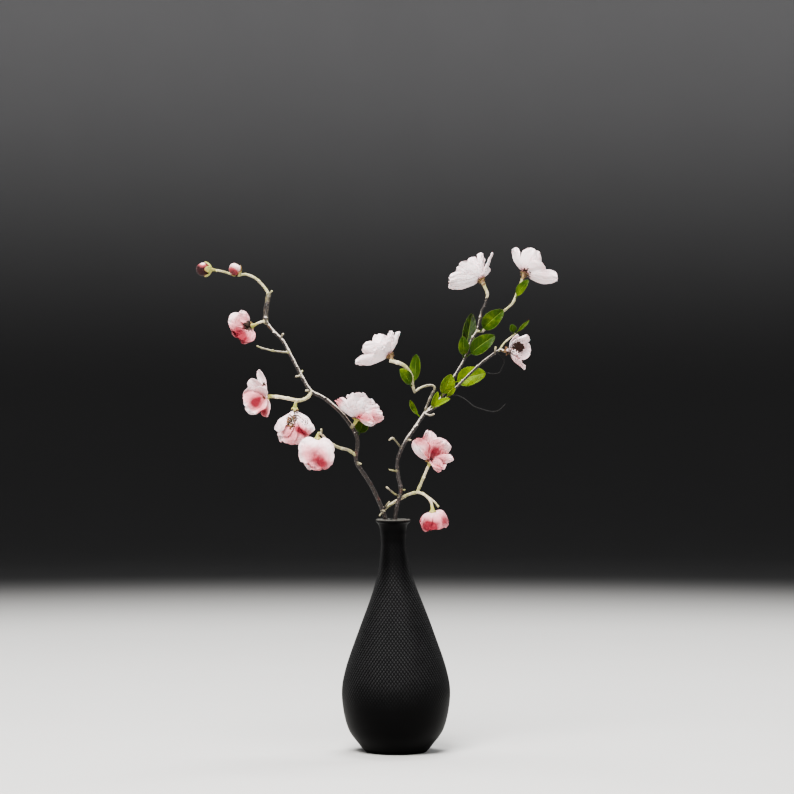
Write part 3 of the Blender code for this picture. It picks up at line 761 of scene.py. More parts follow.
@dataclass(frozen=True)
class Limb:
    """One limb of a branch: radii and youth of its bark at its start and end, and its route."""

    radii: tuple[float, float]
    youth: tuple[float, float]
    route: tuple[Point, ...]

    def points(self) -> list[Vector]:
        """The route's points."""
        return [Vector(point) for point in self.route]

    def radius(self, share: float) -> float:
        """The radius at a share of its length."""
        return self.radii[0] + (self.radii[1] - self.radii[0]) * share

    def end(self) -> Vector:
        """Where the limb ends."""
        return Vector(self.route[-1])

    def way(self) -> Vector:
        """The direction that its end points in."""
        return (self.end() - Vector(self.route[-2])).normalized()

    def nearest(self, point: Vector) -> tuple[Vector, float]:
        """The place on the route that is nearest to a point.

        Args:
            point: Any point.

        Returns:
            The place, and how far along the route it is, from 0 to 1.
        """
        best = (math.inf, point, 0.0)
        points = self.points()
        for i, (start, end) in enumerate(zip(points, points[1:])):
            run = end - start
            t = max(0.0, min(1.0, (point - start).dot(run) / run.length_squared))
            place = start + run * t
            if (point - place).length < best[0]:
                best = ((point - place).length, place, (i + t) / (len(points) - 1))
        return best[1], best[2]


@dataclass(frozen=True)
class Patch:
    """A round patch of colour on a bloom, seen from the front."""

    centre: tuple[float, float]
    radius: float
    strength: float

    def at(self, offset: Vector) -> float:
        """How strong it is at an offset from the stalk's end."""
        away = Vector((offset.x - self.centre[0], offset.z - self.centre[1])).length / self.radius
        return self.strength * math.exp(-away * away)


@dataclass(frozen=True)
class Petal:
    """One petal, from its root on the knot to its tip, with the chances of its growth."""

    root: Vector
    tip: Vector
    width: float
    axis: Vector
    bulge: float
    phase: float
    notch: float
    ruffle: float
    curl: float
    cup: float = 0.3
    claw: float = 0.32
    widest: float = 0.6
    belly: float = 0.8
    crumple: float = 0.55
    front: float = 0.0
    twist: float = 12.0
    wave: float = 0.035
    crease: float = 0.016

    def half_width(self, along: float) -> float:
        """Measures the petal across.

        Args:
            along: The share, from 0 at the root.

        Returns:
            Half the width, in millimetres.
        """
        if along <= self.widest:
            spread = self.claw + (1 - self.claw) * math.sin(math.pi / 2 * (along / self.widest) ** 0.8)
        else:
            spread = math.cos(math.pi / 4 * (along - self.widest) / (1 - self.widest))
        return self.width / 2 * spread

    def surface(self) -> Place:
        """Shapes the petal's middle surface: bulged, cupped, creased, and ruffled at its rim.

        Returns:
            The surface, from along (0 to 1) and across (-1 to 1) to millimetres.
        """
        chord = self.tip - self.root
        length = chord.length
        way = chord / length
        out = -(self.axis - self.axis.dot(way) * way).normalized()
        out = out.lerp((FRONT - FRONT.dot(way) * way).normalized(), self.front).normalized()
        out = Matrix.Rotation(math.radians(self.twist), 3, way) @ out
        across = way.cross(out)
        ruffle = self.ruffle * length

        def place(u: float, v: float) -> Vector:
            """Finds one point.

            Args:
                u: The share of the length, from 0 at the foot to 1.
                v: The share of the half width, from -1 to 1.

            Returns:
                The point.
            """
            half = self.half_width(u)
            # The rim is the part that ruffles: both sides and the tip.
            rim = ease(0.45, 1.0, max(abs(v), ease(0.35, 1.0, u)))
            # The tip is rounded, and may have a notch.
            past = max(0.0, (u - self.widest) / (1 - self.widest))
            back = (1 - self.widest) * (1 - math.sqrt(1 - 0.5 * v * v)) * past ** 1.3
            back += self.notch * math.exp(-(v / 0.2) ** 2) * u ** 9
            # The blade bulges along its length and cups across it, with a slow wave and two ruffles.
            lift = self.bulge * length * math.sin(math.pi * u ** self.belly) - self.cup * half * v * v
            lift += self.wave * length * u * u * math.sin(3 * v + self.phase)
            lift += ruffle * rim * u * math.sin(8.5 * v + 5 * u + 1.7 * self.phase)
            lift += ruffle * 0.7 * rim * u * math.sin(14 * u * abs(v) + 3.1 * self.phase)
            # Its tip curls and its middle has a crease.
            lift += self.curl * length * ease(0.7, 1.0, u) ** 2
            lift -= self.crease * length * math.exp(-(v / 0.12) ** 2) * math.sin(math.pi * u)
            spot = self.root + way * ((u - back) * length) + across * (half * v) + out * lift
            # Last, the skin is crumpled a little everywhere.
            slow = noise.noise(spot * 0.16 + Vector((self.phase, 0, 0)))
            quick = noise.noise(spot * 0.42)
            return spot + out * (self.crumple * u * (slow + 0.4 * quick) + 0.2 * rim * quick)

        return place


def strands(name: str, lines: Sequence[Strand], sides: int) -> bpy.types.Object:
    """Round strands as one piece.

    Args:
        name: The piece's name.
        lines: The strands.
        sides: The faces round each of them, an even number.

    Returns:
        The strands as closed meshes in one object.
    """
    curve = bpy.data.curves.new(name, "CURVE")
    curve.dimensions = "3D"
    curve.bevel_depth = MM
    curve.bevel_resolution = (sides - 4) // 2
    curve.use_fill_caps = True
    for line in lines:
        spline = curve.splines.new("POLY")
        spline.points.add(len(line.points) - 1)
        for target, point, radius in zip(spline.points, line.points, line.radii):
            target.co = (*(point * MM), 1.0)
            target.radius = radius
    piece = placed(name, curve)
    pick(piece)
    bpy.ops.object.convert(target="MESH")
    weld(piece)
    return piece


def swelling(route: Sequence[Vector], start: float, end: float) -> bpy.types.Object:
    """Makes a stalk's last stretch, which thickens towards the cup.

    Args:
        route: The points that its middle line passes.
        start: The radius that it starts with.
        end: The radius that it ends with.

    Returns:
        The stretch.
    """
    line = catmull_rom(route, steps=4)
    radii = [start + (end - start) * ease(0, 1, i / (len(line) - 1)) for i in range(len(line))]
    return strands("swelling", (Strand(line, radii),), sides=14)


def knot(centre: Vector, axis: Vector, radius: float, height: float) -> bpy.types.Object:
    """Makes the small knob that petals grow from.

    Args:
        centre: Its middle.
        axis: The way it points.
        radius: Its radius across the axis.
        height: Half its length along the axis.

    Returns:
        The knob, a ball drawn out along its axis.
    """
    bpy.ops.object.select_all(action="DESELECT")
    bpy.ops.mesh.primitive_uv_sphere_add(segments=20, ring_count=12, radius=1.0)
    piece = bpy.context.object
    piece.name = "knot"
    near, over = square_to(axis)
    for vertex in piece.data.vertices:
        x, y, z = vertex.co
        vertex.co = (centre + (near * x + over * y) * radius + axis * (z * height)) * MM
    weld(piece)
    return piece


@dataclass
class BottleVase:
    """The bottle vase: a hollow turned body, and rows of small studs pressed into its wall."""

    glaze: bpy.types.Material
    outline: tuple[tuple[float, float], ...] = (
        (14.9, 198.6), (13.3, 193.5), (11.3, 188.0), (11.2, 174.0), (16.6, 145.0), (30.5, 107.0),
        (42.6, 72.0), (46.4, 48.0), (41.5, 21.0), (29.5, 3.6))
    lip: tuple[tuple[float, float], ...] = (
        (8.6, 189.0), (9.0, 192.0), (10.4, 195.6), (11.9, 198.3), (12.6, 199.5), (13.0, 199.9), (13.5, 200.0),
        (14.2, 199.95), (14.7, 199.6), (14.9, 199.1), (14.9, 198.0), (14.7, 197.3), (14.2, 196.9),
        (13.6, 196.6), (13.1, 196.0), (12.6, 195.1), (12.1, 194.0), (11.8, 192.8), (11.5, 191.6),
        (11.4, 190.3), (11.3, 189.0))
    foot: tuple[tuple[float, float], ...] = (
        (28.2, 2.3), (27.3, 1.3), (26.6, 0.5), (26.0, 0.0), (20.0, 0.0), (0.0, 0.0))
    lip_start: float = 188.2
    wall: float = 2.8
    floor: float = 5.0
    floor_corner: tuple[tuple[float, float], ...] = ((-7.5, 0.0), (-4.8, 0.8), (-2.2, 3.2))
    corner_height: float = 7.0
    lean: float = 2.6
    lean_start: float = 114.0
    height: float = 200.0
    sides: int = 160
    stud_pitch: float = 3.0
    stud_rows: float = 2.05
    stud_height: float = 0.5
    stud_sunk: float = 0.05
    stud_top: float = 0.38
    stud_band: tuple[float, float] = (32.0, 186.0)
    fade_lengths: tuple[float, float] = (40.0, 10.0)
    neck_fade: tuple[float, float] = (130.0, 170.0)
    neck_loss: float = 0.8
    least_fade: float = 0.05
    narrowest: float = 0.3
    seam: float = 1.2
    smooth_angle: float = 50.0

    def leaned(self, spot: Vector) -> Vector:
        """A point moved along with the lean of the neck."""
        share = max(0.0, (spot.z - self.lean_start) / (self.height - self.lean_start))
        return spot - Vector((self.lean * share * share * (3 - 2 * share), 0, 0))

    def outer(self, steps: int) -> list[Vector]:
        """The outer side below the lip, as (radius, height) points that run down."""
        curve = catmull_rom([Vector(point) for point in self.outline], steps)
        return [point for point in curve if point.y < self.lip_start]

    def profile(self) -> list[tuple[float, float]]:
        """Draws the whole outline, from the middle of the floor inside to the middle of the foot.

        Returns:
            The outline, as (radius, height) points.
        """
        outer = self.outer(steps=9)
        inner = []
        for before, point, after in zip(outer, outer[1:], outer[2:]):
            run = (after - before).normalized()
            moved = point + Vector((run.y, -run.x)) * self.wall
            if moved.y > self.floor + self.corner_height:
                inner.append(tuple(moved))
        edge = inner[-1][0]
        corner = [(edge + aside, self.floor + rise) for aside, rise in self.floor_corner]
        below = [(0.0, self.floor), *corner, *reversed(inner)]
        return [*below, *self.lip, *(tuple(point) for point in outer), *self.foot]

    def body(self) -> bpy.types.Object:
        """Turns the body, which leans a little at its neck.

        Returns:
            The piece.
        """
        profile = self.profile()

        def place(along: float, across: float) -> Vector:
            """Finds one point.

            Args:
                along: The share of the outline, from 0 to 1.
                across: The share of half a turn, from -1 to 1.

            Returns:
                The point.
            """
            radius, height = profile[round(along * (len(profile) - 1))]
            turn = math.pi * across
            return self.leaned(Vector((radius * math.sin(turn), -radius * math.cos(turn), height)))

        piece = sheet("vase_body", self.sides, len(profile) - 1, place)
        weld(piece)
        return finish(piece, self.glaze, Slot.GLAZE, ("vase",), self.smooth_angle)

    def studs(self) -> bpy.types.Object:
        """Presses staggered rows of low blunt pyramids, with a narrow seam left plain at the back.

        Returns:
            The piece.
        """
        shape = bmesh.new()
        # Each stud's top point keeps the strength of its painted highlight.
        shape.verts.layers.float.new("raised")
        outer = self.outer(steps=40)
        travelled, row = 0.0, 0
        for start, end in zip(outer, outer[1:]):
            step = (end - start).length
            while travelled + step >= self.stud_rows * (row + 1):
                row += 1
                spot = start.lerp(end, (self.stud_rows * row - travelled) / step)
                if self.stud_band[0] < spot.y < self.stud_band[1]:
                    self._row(shape, spot, (end - start).normalized(), shift=0.5 * (row % 2))
            travelled += step
        mesh = bpy.data.meshes.new("vase_studs")
        shape.to_mesh(mesh)
        shape.free()
        piece = placed("vase_studs", mesh)
        settle(piece, "TRIANGULATE")
        weld(piece, within=None)
        return finish(piece, self.glaze, Slot.GLAZE, angle=self.smooth_angle)

    def _row(self, shape: bmesh.types.BMesh, spot: Vector, slope: Vector, shift: float) -> None:
        """Adds one row of studs, evenly spaced from the front to the seam.

        Args:
            shape: What they are added to.
            spot: The row's place on the outline.
            slope: The way the outline runs there.
            shift: How far the row is moved round, in spaces.
        """
        low, high = self.stud_band
        fade = ease(low, low + self.fade_lengths[0], spot.y)
        fade *= 1 - self.neck_loss * ease(*self.neck_fade, spot.y)
        fade *= ease(high, high - self.fade_lengths[1], spot.y)
        seam = math.pi * spot.x - self.seam / 2
        count = int(seam / self.stud_pitch) + 1
        for i in range(-count, count + 1):
            middle = (i + shift) * self.stud_pitch
            left = max(middle - self.stud_pitch / 2, -seam)
            right = min(middle + self.stud_pitch / 2, seam)
            if right - left > self.narrowest * self.stud_pitch:
                self._stud(shape, spot, slope, (left, right), max(fade, self.least_fade))

    def _stud(
        self, shape: bmesh.types.BMesh, spot: Vector, slope: Vector, sides: tuple[float, float], fade: float
    ) -> None:
        """Adds one stud.

        Args:
            shape: What it is added to.
            spot: Its row's place on the outline.
            slope: The way the outline runs there.
            sides: Where it starts and ends along its row, from the front.
            fade: How fully it stands out, and how much painted highlight its top gets.
        """
        raised = shape.verts.layers.float["raised"]
        turn = (sides[0] + sides[1]) / 2 / spot.x
        ahead = Vector((math.sin(turn), -math.cos(turn), 0))
        right = Vector((math.cos(turn), math.sin(turn), 0)) * ((sides[1] - sides[0]) / 2)
        down = ahead * slope.x + Vector((0, 0, slope.y))
        out = down.cross(right).normalized()
        middle = ahead * spot.x + Vector((0, 0, spot.y))
        low, high = [], []
        for j in range(4):
            aside = right * math.sin(math.pi / 2 * j) + down * (math.cos(math.pi / 2 * j) * self.stud_rows)
            rings = ((low, 1.0, -self.stud_sunk), (high, self.stud_top, self.stud_height * fade))
            for line, size, level in rings:
                line.append(shape.verts.new(self.leaned(middle + aside * size + out * level) * MM))
            # The top's painted highlight grows with how far the stud stands out.
            high[-1][raised] = fade
        shape.faces.new(low)
        shape.faces.new(high[::-1])
        for j in range(4):
            k = (j + 1) % 4
            shape.faces.new((low[k], low[j], high[j], high[k]))


@dataclass
class Branch:
    """A woody branch with its side shoots, dormant buds and tendrils, grown together in one skin."""

    side: Side
    limbs: dict[str, Limb]
    bark: bpy.types.Material
    seed: int
    joint_spacing: float = 9.5
    joint_swell: float = 0.17
    buds_from: float = 208.0
    bare_joints: float = 0.35
    bud_radii: tuple[float, float, float] = (0.75, 0.68, 0.3)
    voxel: float = 0.42
    thin: float = 0.6
    roughness: float = 0.16
    ridges: Point = (1.1, 1.1, 0.35)
    # The band of heights where the limbs' upper sides get a painted highlight.
    highlight_rise: tuple[float, float] = (242.0, 288.0)
    highlight_fall: tuple[float, float] = (394.0, 366.0)

    def line(self, limb: Limb) -> Strand:
        """Draws a limb's strand, a little thicker at each joint.

        Args:
            limb: The limb.

        Returns:
            The strand.
        """
        points = catmull_rom(limb.points(), steps=8)
        travelled = 0.0
        radii = []
        for i, point in enumerate(points):
            travelled += (point - points[i - 1]).length if i else 0.0
            away = travelled % self.joint_spacing - self.joint_spacing / 2
            swell = self.joint_swell * math.exp(-away ** 2)
            radii.append(limb.radius(i / (len(points) - 1)) * (1 + swell))
        return Strand(points, radii)

    def dormant_buds(self, line: Strand, chance: random.Random) -> list[Strand]:
        """Sets small buds against a limb at its joints, above the vase.

        Args:
            line: The limb's strand.
            chance: Where its random draws come from.

        Returns:
            The buds' strands.
        """
        buds = []
        travelled, joint = 0.0, 0
        for before, point, radius in zip(line.points, line.points[1:], line.radii[1:]):
            travelled += (point - before).length
            if travelled < self.joint_spacing * (joint + 0.5):
                continue
            joint += 1
            if point.z < self.buds_from or chance.random() < self.bare_joints:
                continue
            way = (point - before).normalized()
            aside = around(way, math.pi / 2, math.pi * joint + chance.uniform(-0.9, 0.9))
            foot = point + aside * (radius * 0.7)
            tip = foot + aside * (radius * 0.45 + 0.35) + way * 1.3
            buds.append(Strand((foot, (foot + tip) / 2 + aside * 0.15, tip), self.bud_radii))
        return buds

    def build(self) -> bpy.types.Object:
        """Grows the whole branch together in one skin, with its thin tendrils.

        Returns:
            The piece.
        """
        chance = random.Random(self.seed)
        lines = {name: self.line(limb) for name, limb in self.limbs.items()}
        stout = [name for name, limb in self.limbs.items() if limb.radii[0] > self.thin]
        wood = [lines[name] for name in stout]
        for name in stout:
            if not name.startswith("nub"):
                wood += self.dormant_buds(lines[name], chance)
        piece = strands(f"{self.side.value}_bark", wood, sides=10)
        settle(piece, "REMESH", mode="VOXEL", voxel_size=self.voxel * MM)
        settle(piece, "SMOOTH", factor=0.5, iterations=2)
        self.weather(piece)
        thin = [lines[name] for name in self.limbs if name not in stout]
        if thin:
            piece = joined(piece.name, (piece, strands("tendrils", thin, sides=8)))
        self.age(piece, lines)
        return finish(piece, self.bark, Slot.BARK, (self.side.value,), angle=80.0)

    def weather(self, piece: bpy.types.Object) -> None:
        """Roughens the skin with ridges along the wood.

        Args:
            piece: The branch.
        """
        normals = [vertex.normal.copy() for vertex in piece.data.vertices]
        for vertex, normal in zip(piece.data.vertices, normals):
            spot = vertex.co / MM
            ridge = noise.noise(Vector([part * scale for part, scale in zip(spot, self.ridges)]))
            vertex.co += normal * (self.roughness * (ridge + 0.5 * noise.noise(spot * 2.2)) * MM)

    def age(self, piece: bpy.types.Object, lines: dict[str, Strand]) -> None:
        """Stores how young the bark is at each point and how much painted highlight it gets where it faces up
        within a band of heights: minus one marks a dark tendril.

        Args:
            piece: The branch.
            lines: Its limbs' strands by name.
        """
        samples = []
        for name, line in lines.items():
            start, end = self.limbs[name].youth
            last = len(line.points) - 1
            for i, point in enumerate(line.points):
                samples.append((point, start + (end - start) * i / last, name))
        tree = nearest_of([point for point, *_ in samples])
        paint(piece, "young", lambda spot: samples[tree.find(spot)[1]][1])
        nearest = [samples[tree.find(vertex.co / MM)[1]][2] for vertex in piece.data.vertices]
        wispy = [name.startswith("tendril") for name in nearest]
        # Painted highlight: how far each point faces up, within the band of heights, sets how pale it is
        # painted.
        lifts = [ease(0.05, 0.55, vertex.normal.z) for vertex in piece.data.vertices]
        heights = [vertex.co.z / MM for vertex in piece.data.vertices]
        highlight_band = [ease(*self.highlight_rise, height) * ease(*self.highlight_fall, height) for height in heights]
        weathered = [-1.0 if thin else lift * bare for lift, bare, thin in zip(lifts, highlight_band, wispy)]
        stored = piece.data.attributes.new("weathered", "FLOAT", "POINT")
        stored.data.foreach_set("value", weathered)


@dataclass(frozen=True)
class Growth:
    """The finishes of what grows on the branches."""

    sepals: dict[Slot, bpy.types.Material]
    leaf: bpy.types.Material
    pollen: bpy.types.Material
    petals: dict[Slot, bpy.types.Material]
    bud: bpy.types.Material


@dataclass(frozen=True)
class Eye:
    """A ring of anthers between a bloom's petals: its middle from the stalk's end, and its radius."""

    centre: tuple[float, float]
    radius: float


@dataclass(frozen=True)
class Bloom:
    """An open bloom: a cup of sepals, ruffled petals round a knot, and stamens.

    Its petals are the offsets of their tips from the stalk's end, with their widths. The first ring_size of
    them stand in a ring. The others lie over it and turn their faces to the front by the share named front.
    """

    name: str
    side: Side
    limb: str
    facing: Point
    bulge: float
    slot: Slot
    tint: float
    petals: tuple[tuple[Point, float], ...]
    blush: tuple[Patch, ...]
    # Dark patches: some are browning, some are painted shade.
    browning_and_shade: tuple[Patch, ...]
    eye: Eye | None = None
    knot_height: float = 2.5
    root_height: float = 3.4
    stamens: int = 15
    stamen_length: float = 8.6
    widest_gap: float = 2.2
    inset: float = 0.90
    fullness: float = 1.0
    cup_depth: float = 0.3
    curl: float = 0.0
    swell: float = 0.88
    inner_bulge: float = 0.9
    belly: float = 0.8
    claw: float = 0.32
    widest: float = 0.6
    crumple: float = 0.55
    snug: bool = False
    front: float = 0.0
    ring_size: int = 99
    cup_clear: float = 0.65
    faces: tuple[int, int] = (26, 32)
    inner_faces: tuple[int, int] = (18, 22)
    ring_radii: tuple[float, float] = (1.0, 0.7)
    eye_stamens: int = 22
    eye_anther: float = 1.5

    def axis(self) -> Vector:
        """The way the bloom faces."""
        return Vector(self.facing).normalized()

    def seat(self, limb: Limb) -> Vector:
        """Finds where the cup starts, just clear of the end of the stalk.

        Args:
            limb: The stalk.

        Returns:
            The place.
        """
        axis = self.axis()
        slant = axis.cross(limb.way()).length if axis.dot(limb.way()) > 0 else 1.0
        return limb.end() + axis * (self.cup_clear + limb.radii[1] * slant)

    def build(self, limb: Limb, growth: Growth) -> list[bpy.types.Object]:
        """Builds the bloom.

        Args:
            limb: The stalk that it grows on.
            growth: The finishes.

        Returns:
            Its cup, its petals and its stamens.
        """
        chance = random.Random(self.name)
        petals = self.corolla(limb, growth, chance)
        return [self.cup(limb, growth), petals, self.pollen(limb, growth, chance, petals)]

    def inner_petals(self, top: Vector, end: Vector) -> list[tuple[Vector, float]]:
        """The tips and widths of the petals that stand behind the gaps between the outer ones.

        Args:
            top: Where the petals grow from.
            end: The end of the stalk.

        Returns:
            Each tip with its petal's width.
        """
        axis = self.axis()
        near, over = square_to(axis)
        outer = []
        for offset, width in self.petals[:self.ring_size]:
            lean = end + Vector(offset) - top
            rise = lean.dot(axis)
            turn = math.atan2(lean.dot(over), lean.dot(near))
            outer.append((turn, rise, (lean - axis * rise).length, width))
        outer.sort()
        outer.append((outer[0][0] + math.tau, *outer[0][1:]))
        inner = []
        for first, second in zip(outer, outer[1:]):
            if second[0] - first[0] > self.widest_gap:
                continue
            turn, rise, reach, width = ((a + b) / 2 for a, b in zip(first, second))
            aside = near * math.cos(turn) + over * math.sin(turn)
            inner.append((top + axis * (rise * 0.97) + aside * (reach * self.inset), width * 0.95))
        return inner

    def corolla(self, limb: Limb, growth: Growth, chance: random.Random) -> bpy.types.Object:
        """Builds all the petals and the knot that they grow from.

        Args:
            limb: The stalk.
            growth: The finishes.
            chance: Where its random draws come from.

        Returns:
            The petals as one piece.
        """
        axis, end, foot = self.axis(), limb.end(), self.seat(limb)
        top = foot + axis * self.root_height
        bulge = self.bulge * self.swell
        ring, inner_ring = self.ring_radii
        inner_bulge = bulge * self.inner_bulge
        rows = [(end + Vector(offset), width, bulge, ring, self.faces) for offset, width in self.petals]
        for tip, width in self.inner_petals(top, end):
            rows.append((tip, width, inner_bulge, inner_ring, self.inner_faces))
        pieces = []
        for i, (tip, width, bulge, ring, (columns, length)) in enumerate(rows):
            lean = (tip - top) - (tip - top).dot(axis) * axis
            root = top + lean.normalized() * ring + axis * (0.6 * (i % 2))
            petal = Petal(
                root, tip, width * self.fullness, axis, bulge, phase=2.1 * i,
                notch=chance.uniform(0.0, 0.06), ruffle=chance.uniform(0.014, 0.026),
                curl=chance.uniform(-0.01, 0.05) + self.curl, cup=self.cup_depth,
                claw=self.claw, widest=self.widest, belly=self.belly, crumple=self.crumple,
                front=self.front if self.ring_size <= i < len(self.petals) else 0.0)
            blade = sheet("petal", columns, length, petal.surface())
            thicken(blade, PETAL_WALL)
            paint(blade, "strain", lambda spot: 3.7 * i)
            pieces.append(blade)
        heart = knot(foot + axis * self.knot_height, axis, radius=1.75, height=2.0)
        piece = joined(f"{self.name}_corolla", [*pieces, heart])
        paint(piece, "flush", lambda spot: self.flushed(spot - end))
        # Dark marks, partly browning and partly painted shade.
        paint(piece, "browned", lambda spot: sum(patch.at(spot - end) for patch in self.browning_and_shade))
        return finish(piece, growth.petals[self.slot], self.slot, (f"{self.name}_petals",), angle=70.0)

    def flushed(self, offset: Vector) -> float:
        """Works out how rosy the petals are at an offset from the stalk's end.

        Args:
            offset: The offset.

        Returns:
            The strength.
        """
        drift = 0.5 + 0.5 * noise.noise(offset * 0.11)
        rosy = sum(patch.at(offset) for patch in self.blush)
        return self.tint * (0.4 + 1.2 * drift) + rosy * (0.8 + 0.4 * drift)

    def pollen(
        self, limb: Limb, growth: Growth, chance: random.Random, petals: bpy.types.Object
    ) -> bpy.types.Object:
        """Builds the stamens in the middle, and those that show in the bloom's eye.

        Args:
            limb: The stalk.
            growth: The finishes.
            chance: Where its random draws come from.
            petals: The bloom's petals, which the eye's anthers lie on.

        Returns:
            The stamens as one piece.
        """
        axis = self.axis()
        top = self.seat(limb) + axis * self.root_height
        lines, tips = [], []
        for i in range(self.stamens):
            reach = self.stamen_length * chance.uniform(0.75, 1.0)
            spread = 0.08 + 0.40 * math.sqrt(chance.random())
            aim = around(axis, spread, SCATTER_TURN * i)
            bend = around(axis, spread * 0.3, SCATTER_TURN * i)
            lines.append(self.stamen(top - aim, top + bend * (reach * 0.5), top + aim * reach))
            tips.append(top + aim * reach)
        if self.eye:
            middle = limb.end() + Vector((self.eye.centre[0], 0, self.eye.centre[1]))
            heart = self.on_front(petals, middle) + Vector((0, 1.2, 0))
            for i in range(self.eye_stamens):
                turn = SCATTER_TURN * i
                ring = self.eye.radius * (0.35 + 0.65 * math.sqrt(chance.random()))
                spot = middle + Vector((math.cos(turn) * ring * 0.8, 0, math.sin(turn) * ring * 1.25))
                tip = self.on_front(petals, spot) - Vector((0, 0.5, 0))
                halfway = (heart + tip) / 2 - Vector((0, 0.5, 0))
                lines.append(self.stamen(heart, halfway, tip, self.eye_anther))
                tips.append(tip)
        piece = strands(f"{self.name}_stamens", lines, sides=6)
        tree = nearest_of(tips)
        paint(piece, "anther", lambda spot: ease(1.5, 0.9, tree.find(spot)[2]))
        return finish(piece, growth.pollen, self.slot, angle=80.0)

    @staticmethod
    def on_front(petals: bpy.types.Object, spot: Vector) -> Vector:
        """Finds the place on the petals' front that covers a spot.

        Args:
            petals: The petals.
            spot: The spot behind them.

        Returns:
            The place, or the spot where none covers it.
        """
        start = Vector((spot.x, -200.0, spot.z)) * MM
        hit, place, _, _ = petals.ray_cast(start, Vector((0, 1, 0)))
        return place / MM if hit else spot

    @staticmethod
    def stamen(foot: Vector, middle: Vector, tip: Vector, size: float = 1.0) -> Strand:
        """Draws a thin filament with a plump anther at its tip.

        Args:
            foot: Where it grows.
            middle: A point half way.
            tip: Where its anther is.
            size: How plump the anther is.

        Returns:
            The strand.
        """
        way = (tip - middle).normalized()
        points = (foot, middle, tip - way * 0.9, tip - way * 0.5, tip, tip + way * 0.5)
        return Strand(points, (0.24, 0.17, 0.15, 0.46 * size, 0.55 * size, 0.2 * size))

    def cup(self, limb: Limb, growth: Growth) -> bpy.types.Object:
        """Builds the cup of sepals, with the swelling of the stalk under it.

        Args:
            limb: The stalk.
            growth: The finishes.

        Returns:
            The cup.
        """
        axis, foot = self.axis(), self.seat(limb)
        near, over = square_to(axis)
        ends = ((2.5, 1.5), (3.3, 3.4)) if self.snug else ((2.3, 1.5), (4.6, 0.8))
        outline = catmull_rom([Vector(point) for point in ((0, 0), (1.2, 0.35), *ends)], steps=8)

        def place(along: float, across: float) -> Vector:
            """Finds one point.

            Args:
                along: The share of the reach, from 0 at the stalk to 1.
                across: The share of half a turn, from -1 to 1.

            Returns:
                The point.
            """
            turn = math.pi * across
            lobe = abs(math.cos(2.5 * turn)) ** 0.75
            share = along * (0.68 + 0.27 * lobe)
            spot = share * (len(outline) - 1)
            low = min(int(spot), len(outline) - 2)
            radius, height = outline[low].lerp(outline[low + 1], spot - low)
            height += 0.35 * along * along * math.sin(3 * turn + self.bulge * 40)
            return foot + axis * height + (near * math.cos(turn) + over * math.sin(turn)) * radius

        dish = sheet("dish", columns=80, rows=12, place=place)
        weld(dish)
        thicken(dish, SEPAL_WALL)
        end, way, radius = limb.end(), limb.way(), limb.radii[1]
        swell = swelling([end - way * 2.6, end - way * 0.6, foot, foot + axis * 1.1], radius, end=1.95)
        piece = joined(f"{self.name}_sepals", (dish, swell))
        return finish(piece, growth.sepals[self.slot], Slot.CALYX, (f"{self.name}_calyx",), angle=70.0)


